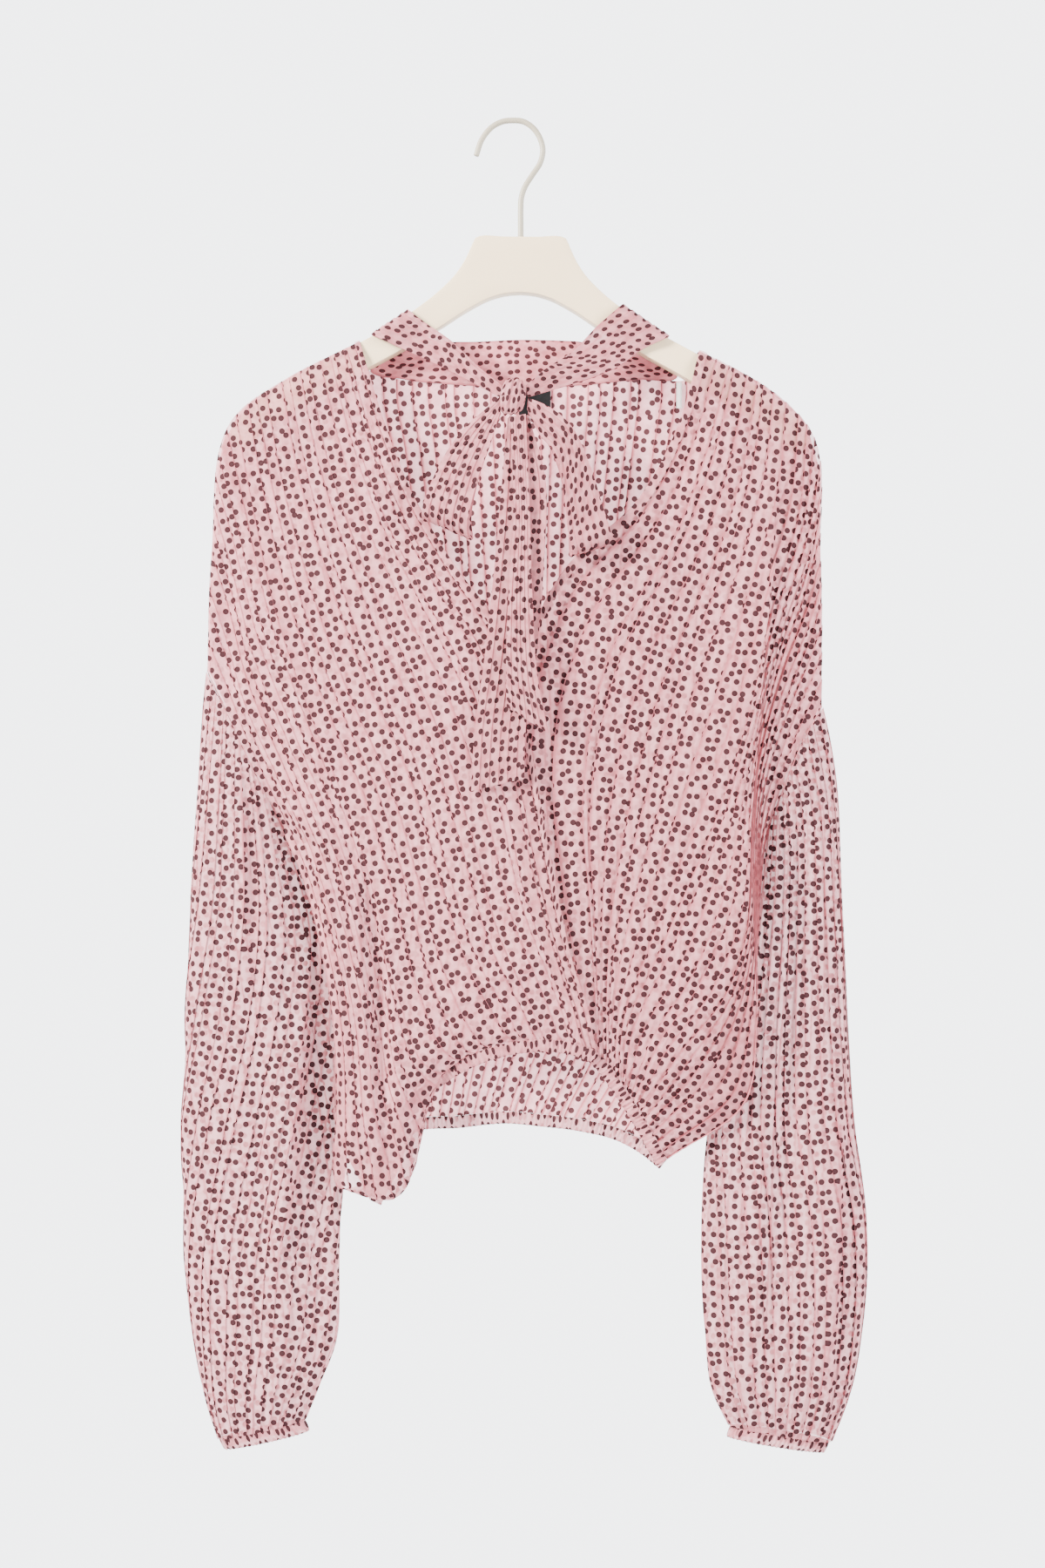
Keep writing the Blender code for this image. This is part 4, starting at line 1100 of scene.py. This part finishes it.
def band(sections, outward, seed):
    """A double band of cloth through sections of two edge points, pleated along its length."""
    sections = np.array(sections, float)
    spans = np.linalg.norm(np.diff(sections, axis=0), axis=-1).max(axis=1)
    ends = smoothed(sections, [even_places(max(2, round(span / BAND_STEP))) for span in spans])
    down = np.gradient(ends.mean(axis=1), axis=0)
    across = ends[:, 1] - ends[:, 0]
    out = unit(np.cross(down, across) * outward)
    width = np.linalg.norm(across, axis=1)
    run = np.concatenate([[0], np.cumsum(np.linalg.norm(down[:-1], axis=1))])
    fit = np.clip(width / BAND_FULL, BAND_LEAST, 1)
    rng = np.random.default_rng(seed)
    lines = np.arange(BAND_PLEATS + 1) + rng.uniform(-0.2, 0.2, BAND_PLEATS + 1) * 0.8
    lines[0], lines[-1] = 0, BAND_PLEATS
    loop = []
    for k in range(BAND_PLEATS):
        for share, lift, ply_and_shade in BAND_SHAPE:
            loop.append(((lines[k] + share * (lines[k + 1] - lines[k])) / BAND_PLEATS,
                         BAND_THICK / 2 + BAND_RIDGE * lift, ply_and_shade))
    # Dark lines along the band's edges: partly its fold seen edge on, partly painted shade outlining the band
    loop += [(1.0, BAND_THICK / 3, 1.0), (1.0, -BAND_THICK / 3, 1.0)]
    loop += [(1 - part, -BAND_THICK / 2, 0.3) for part in (0.08, 0.3, 0.5, 0.7, 0.92)]
    loop += [(0.0, -BAND_THICK / 3, 1.0)]
    points, prints = [], []
    for part, lift, ply_and_shade in loop:
        wander = np.array([noise.noise(Vector((s / BAND_WAVE, seed + part * 3, 0.4))) for s in run])
        points.append(ends[:, 0] + across * part + out * (lift * fit + BAND_WANDER * wander)[:, None])
        place = (part - 0.5) * BAND_PRINT * width + (BAND_BACK if lift < 0 else 0)
        prints.append(np.column_stack([place, run, np.full(len(run), ply_and_shade)]))
    points.append(points[0])
    prints.append(prints[0] + (BAND_CLOSE, 0, 0))
    return np.stack(points, axis=1), np.stack(prints, axis=1)


for name, node, sections, outward, flat, rest in (
        ("neck_band", "neckband_back", NECKBAND_BACK, -1, (0.032, 0.29), "back_panel"),
        ("right_strap", "tie_strap_right", STRAP_RIGHT, 1, (0.025, 0.10), "neck_band"),
        ("left_strap", "tie_strap_left", STRAP_LEFT, -1, (0.028, 0.12), "neck_band"),
        ("right_loop", "bow_loop_right", LOOP_RIGHT, 1, (0.030, 0.20), "right_strap"),
        ("left_loop", "bow_loop_left", LOOP_LEFT, -1, (0.028, 0.23), "left_strap"),
        ("front_tail", "tie_tail_front", TAIL_FRONT, 1, (0.021, 0.21), "right_strap"),
        ("back_tail", "tie_tail_back", TAIL_BACK, 1, (0.036, 0.27), "right_strap")):
    points, prints = band(sections, outward, seed=len(name))
    # The neck band takes the back's lighter material: painted light on a band that sits in shade
    cloth = lightened_reverse if name == "neck_band" else chiffon
    piece = finished(cloth_sheet(points, prints, closed=True, capped=True), name, cloth, "chiffon", node)


KNOT_MIDDLE = (1.0, -22.5, -202)
KNOT_HALF = (9.0, 7.5, 13.5)
KNOT_RINGS = 44
KNOT_ROUND = 64
# Columns: place along the knot, depth, width
KNOT_CREASES = ((-0.62, 0.10, 0.16), (-0.15, 0.13, 0.12), (0.28, 0.09, 0.10), (0.66, 0.12, 0.14))
KNOT_LEAN = 0.12
# The print on the knot: half its length, and its length for each radian round
KNOT_PRINT = (16, 11)


def knot():
    """The knot: a short stretch of the band drawn tight over the middle, creased along its run, with painted
    shade darkening its creases.
    """
    points, prints = [], []
    for i in range(KNOT_RINGS + 1):
        x = 2 * i / KNOT_RINGS - 1
        size = (1 - abs(x) ** 3.2) ** 0.45 * 0.88 + 0.12
        ring, marks = [], []
        for j in range(KNOT_ROUND + 1):
            angle = 2 * pi * j / KNOT_ROUND
            crease = sum(depth * np.exp(-((x - place - 0.1 * sin(angle)) / width) ** 2)
                         for place, depth, width in KNOT_CREASES)
            radius = size * (1 - crease)
            y = -KNOT_HALF[1] * cos(angle) * radius
            z = KNOT_HALF[2] * sin(angle) * radius * (1 - 0.10 * x)
            ring.append((KNOT_MIDDLE[0] + KNOT_HALF[0] * x + KNOT_LEAN * z, KNOT_MIDDLE[1] + y,
                         KNOT_MIDDLE[2] + z))
            # The third value darkens the creases: painted shade, deeper where the crease is deeper
            marks.append((x * KNOT_PRINT[0], angle * KNOT_PRINT[1], min(2.2 * crease, 0.9)))
        points.append(ring)
        prints.append(marks)
    return np.array(points), np.array(prints)


points, prints = knot()
tied = finished(cloth_sheet(points, prints, closed=True, capped=True), "knot", chiffon, "chiffon", "bow_knot")


# Neck label and hanging loop
# A black woven label and a loop of narrow off-white ribbon, both sewn into the back neck seam.
# The label's words are left off.

LABEL_BLACK = (0.004, 0.0035, 0.004)
RIBBON_WHITE = (0.62, 0.60, 0.58)
RIBBON_THICK = 0.5


def woven(name, base, scale, roughness):
    """A close weave with a fine rib."""
    material, tree, output = material_started(name)
    place = node_made(tree, "TexCoord")
    rib = node_made(tree, "TexWave", {"Scale": scale, "Distortion": 0.6}, bands_direction="Z")
    cloud, bump = grain_node(tree, 300.0), bump_node(tree, 0.5, 0.0002)
    tint = blend_node(tree, first=[c * 0.8 for c in base], second=base)
    shader = node_made(tree, "BsdfPrincipled", {"Roughness": roughness, "Specular IOR Level": 0.15})
    wired(tree, (place, "Object", rib, "Vector"), (place, "Object", cloud, "Vector"),
          (cloud, "Fac", tint, 0), (tint, MIX_RESULT, shader, "Base Color"),
          (rib, "Fac", bump, "Height"), (bump, "Normal", shader, "Normal"),
          (shader, "BSDF", output, "Surface"))
    return material


def ribbon_piece(x0, x1, y, z0, z1, bow, columns, rows):
    """A small rectangle of ribbon with a soft curve."""
    bpy.ops.object.select_all(action="DESELECT")
    bpy.ops.mesh.primitive_grid_add(x_subdivisions=columns, y_subdivisions=rows, size=1.0)
    piece = bpy.context.object
    for vertex in piece.data.vertices:
        across, up = vertex.co.x + 0.5, vertex.co.y + 0.5
        curve = bow * (sin(pi * up) + 0.4 * sin(pi * across) - 0.3 * sin(2 * pi * across))
        vertex.co = Vector((x0 + (x1 - x0) * across, y - curve, z0 + (z1 - z0) * up)) * MM
    shaped_by(piece, "SOLIDIFY", thickness=RIBBON_THICK * MM)
    bpy.ops.object.shade_smooth_by_angle(angle=radians(40))
    return piece


label = ribbon_piece(5, 28, 7.9, -210.5, -189.5, 0.6, 16, 14)
finished(label, "label", woven("black_weave", LABEL_BLACK, 900.0, 0.6), "label", "neck_label")
loop = ribbon_piece(119.5, 123.5, 7.6, -205, -186, 0.4, 6, 16)
finished(loop, "hanging_loop", woven("white_ribbon", RIBBON_WHITE, 1200.0, 0.55), "ribbon", "hanger_loop")


# Floor, light and camera
# A plain pale studio: soft light from the upper left in front, and a level camera.

CAMERA_DISTANCE = 1.6
CAMERA_X = 0.0076
CAMERA_Z = -0.478
CAMERA_LENS = 50.8
FLOOR_Z = -1.5
FLOOR_RADIUS = 1.2
FLOOR_GREY = (0.78, 0.78, 0.79)
WORLD_WHITE = (0.955, 0.97, 1.0)
# Strength of the white room: behind the blouse, and behind the camera
WALL_LIGHT = 4.9
ROOM_LIGHT = 1.3


def area_light(name, place, aim, size, power, colour):
    """A soft light pointed at a place."""
    light = bpy.data.lights.new(name, "AREA")
    light.shape = "RECTANGLE"
    light.size, light.size_y = size
    light.energy = power
    light.color = colour
    lamp = added(name, light)
    lamp.location = place
    lamp.rotation_euler = (Vector(aim) - Vector(place)).to_track_quat("-Z", "Y").to_euler()


bpy.ops.object.select_all(action="DESELECT")
bpy.ops.mesh.primitive_circle_add(vertices=96, radius=FLOOR_RADIUS, fill_type="NGON",
                                  location=(0, 0, FLOOR_Z))
floor = bpy.context.object
floor.name = "floor"
floor_paint, tree, output = material_started("floor_paint")
paint = node_made(tree, "BsdfPrincipled", {"Base Color": (*FLOOR_GREY, 1), "Roughness": 0.9})
wired(tree, (paint, "BSDF", output, "Surface"))
floor.data.materials.append(floor_paint)

world = bpy.context.scene.world or bpy.data.worlds.new("studio")
bpy.context.scene.world = world
world.use_nodes = True
room = world.node_tree
background = room.nodes["Background"]
background.inputs["Color"].default_value = (*WORLD_WHITE, 1)
direction, axes = node_made(room, "TexCoord"), node_made(room, "SeparateXYZ")
falloff = ramp_node(room, -0.4, 0.85, ROOM_LIGHT, WALL_LIGHT)
wired(room, (direction, "Generated", axes, "Vector"), (axes, "Y", falloff, "Value"),
      (falloff, "Result", background, "Strength"))

area_light("key", (-2.0, -1.3, 0.7), (0, 0, -0.45), (0.7, 0.7), 540, (1.0, 0.985, 0.96))
area_light("side", (2.0, -1.2, 0.1), (0, 0, -0.5), (1.0, 1.6), 225, (0.96, 0.98, 1.0))

camera_data = bpy.data.cameras.new("camera")
camera_data.lens = CAMERA_LENS
camera = added("camera", camera_data)
camera.location = (CAMERA_X, -CAMERA_DISTANCE, CAMERA_Z)
camera.rotation_euler = (radians(90), 0, 0)
bpy.context.scene.camera = camera
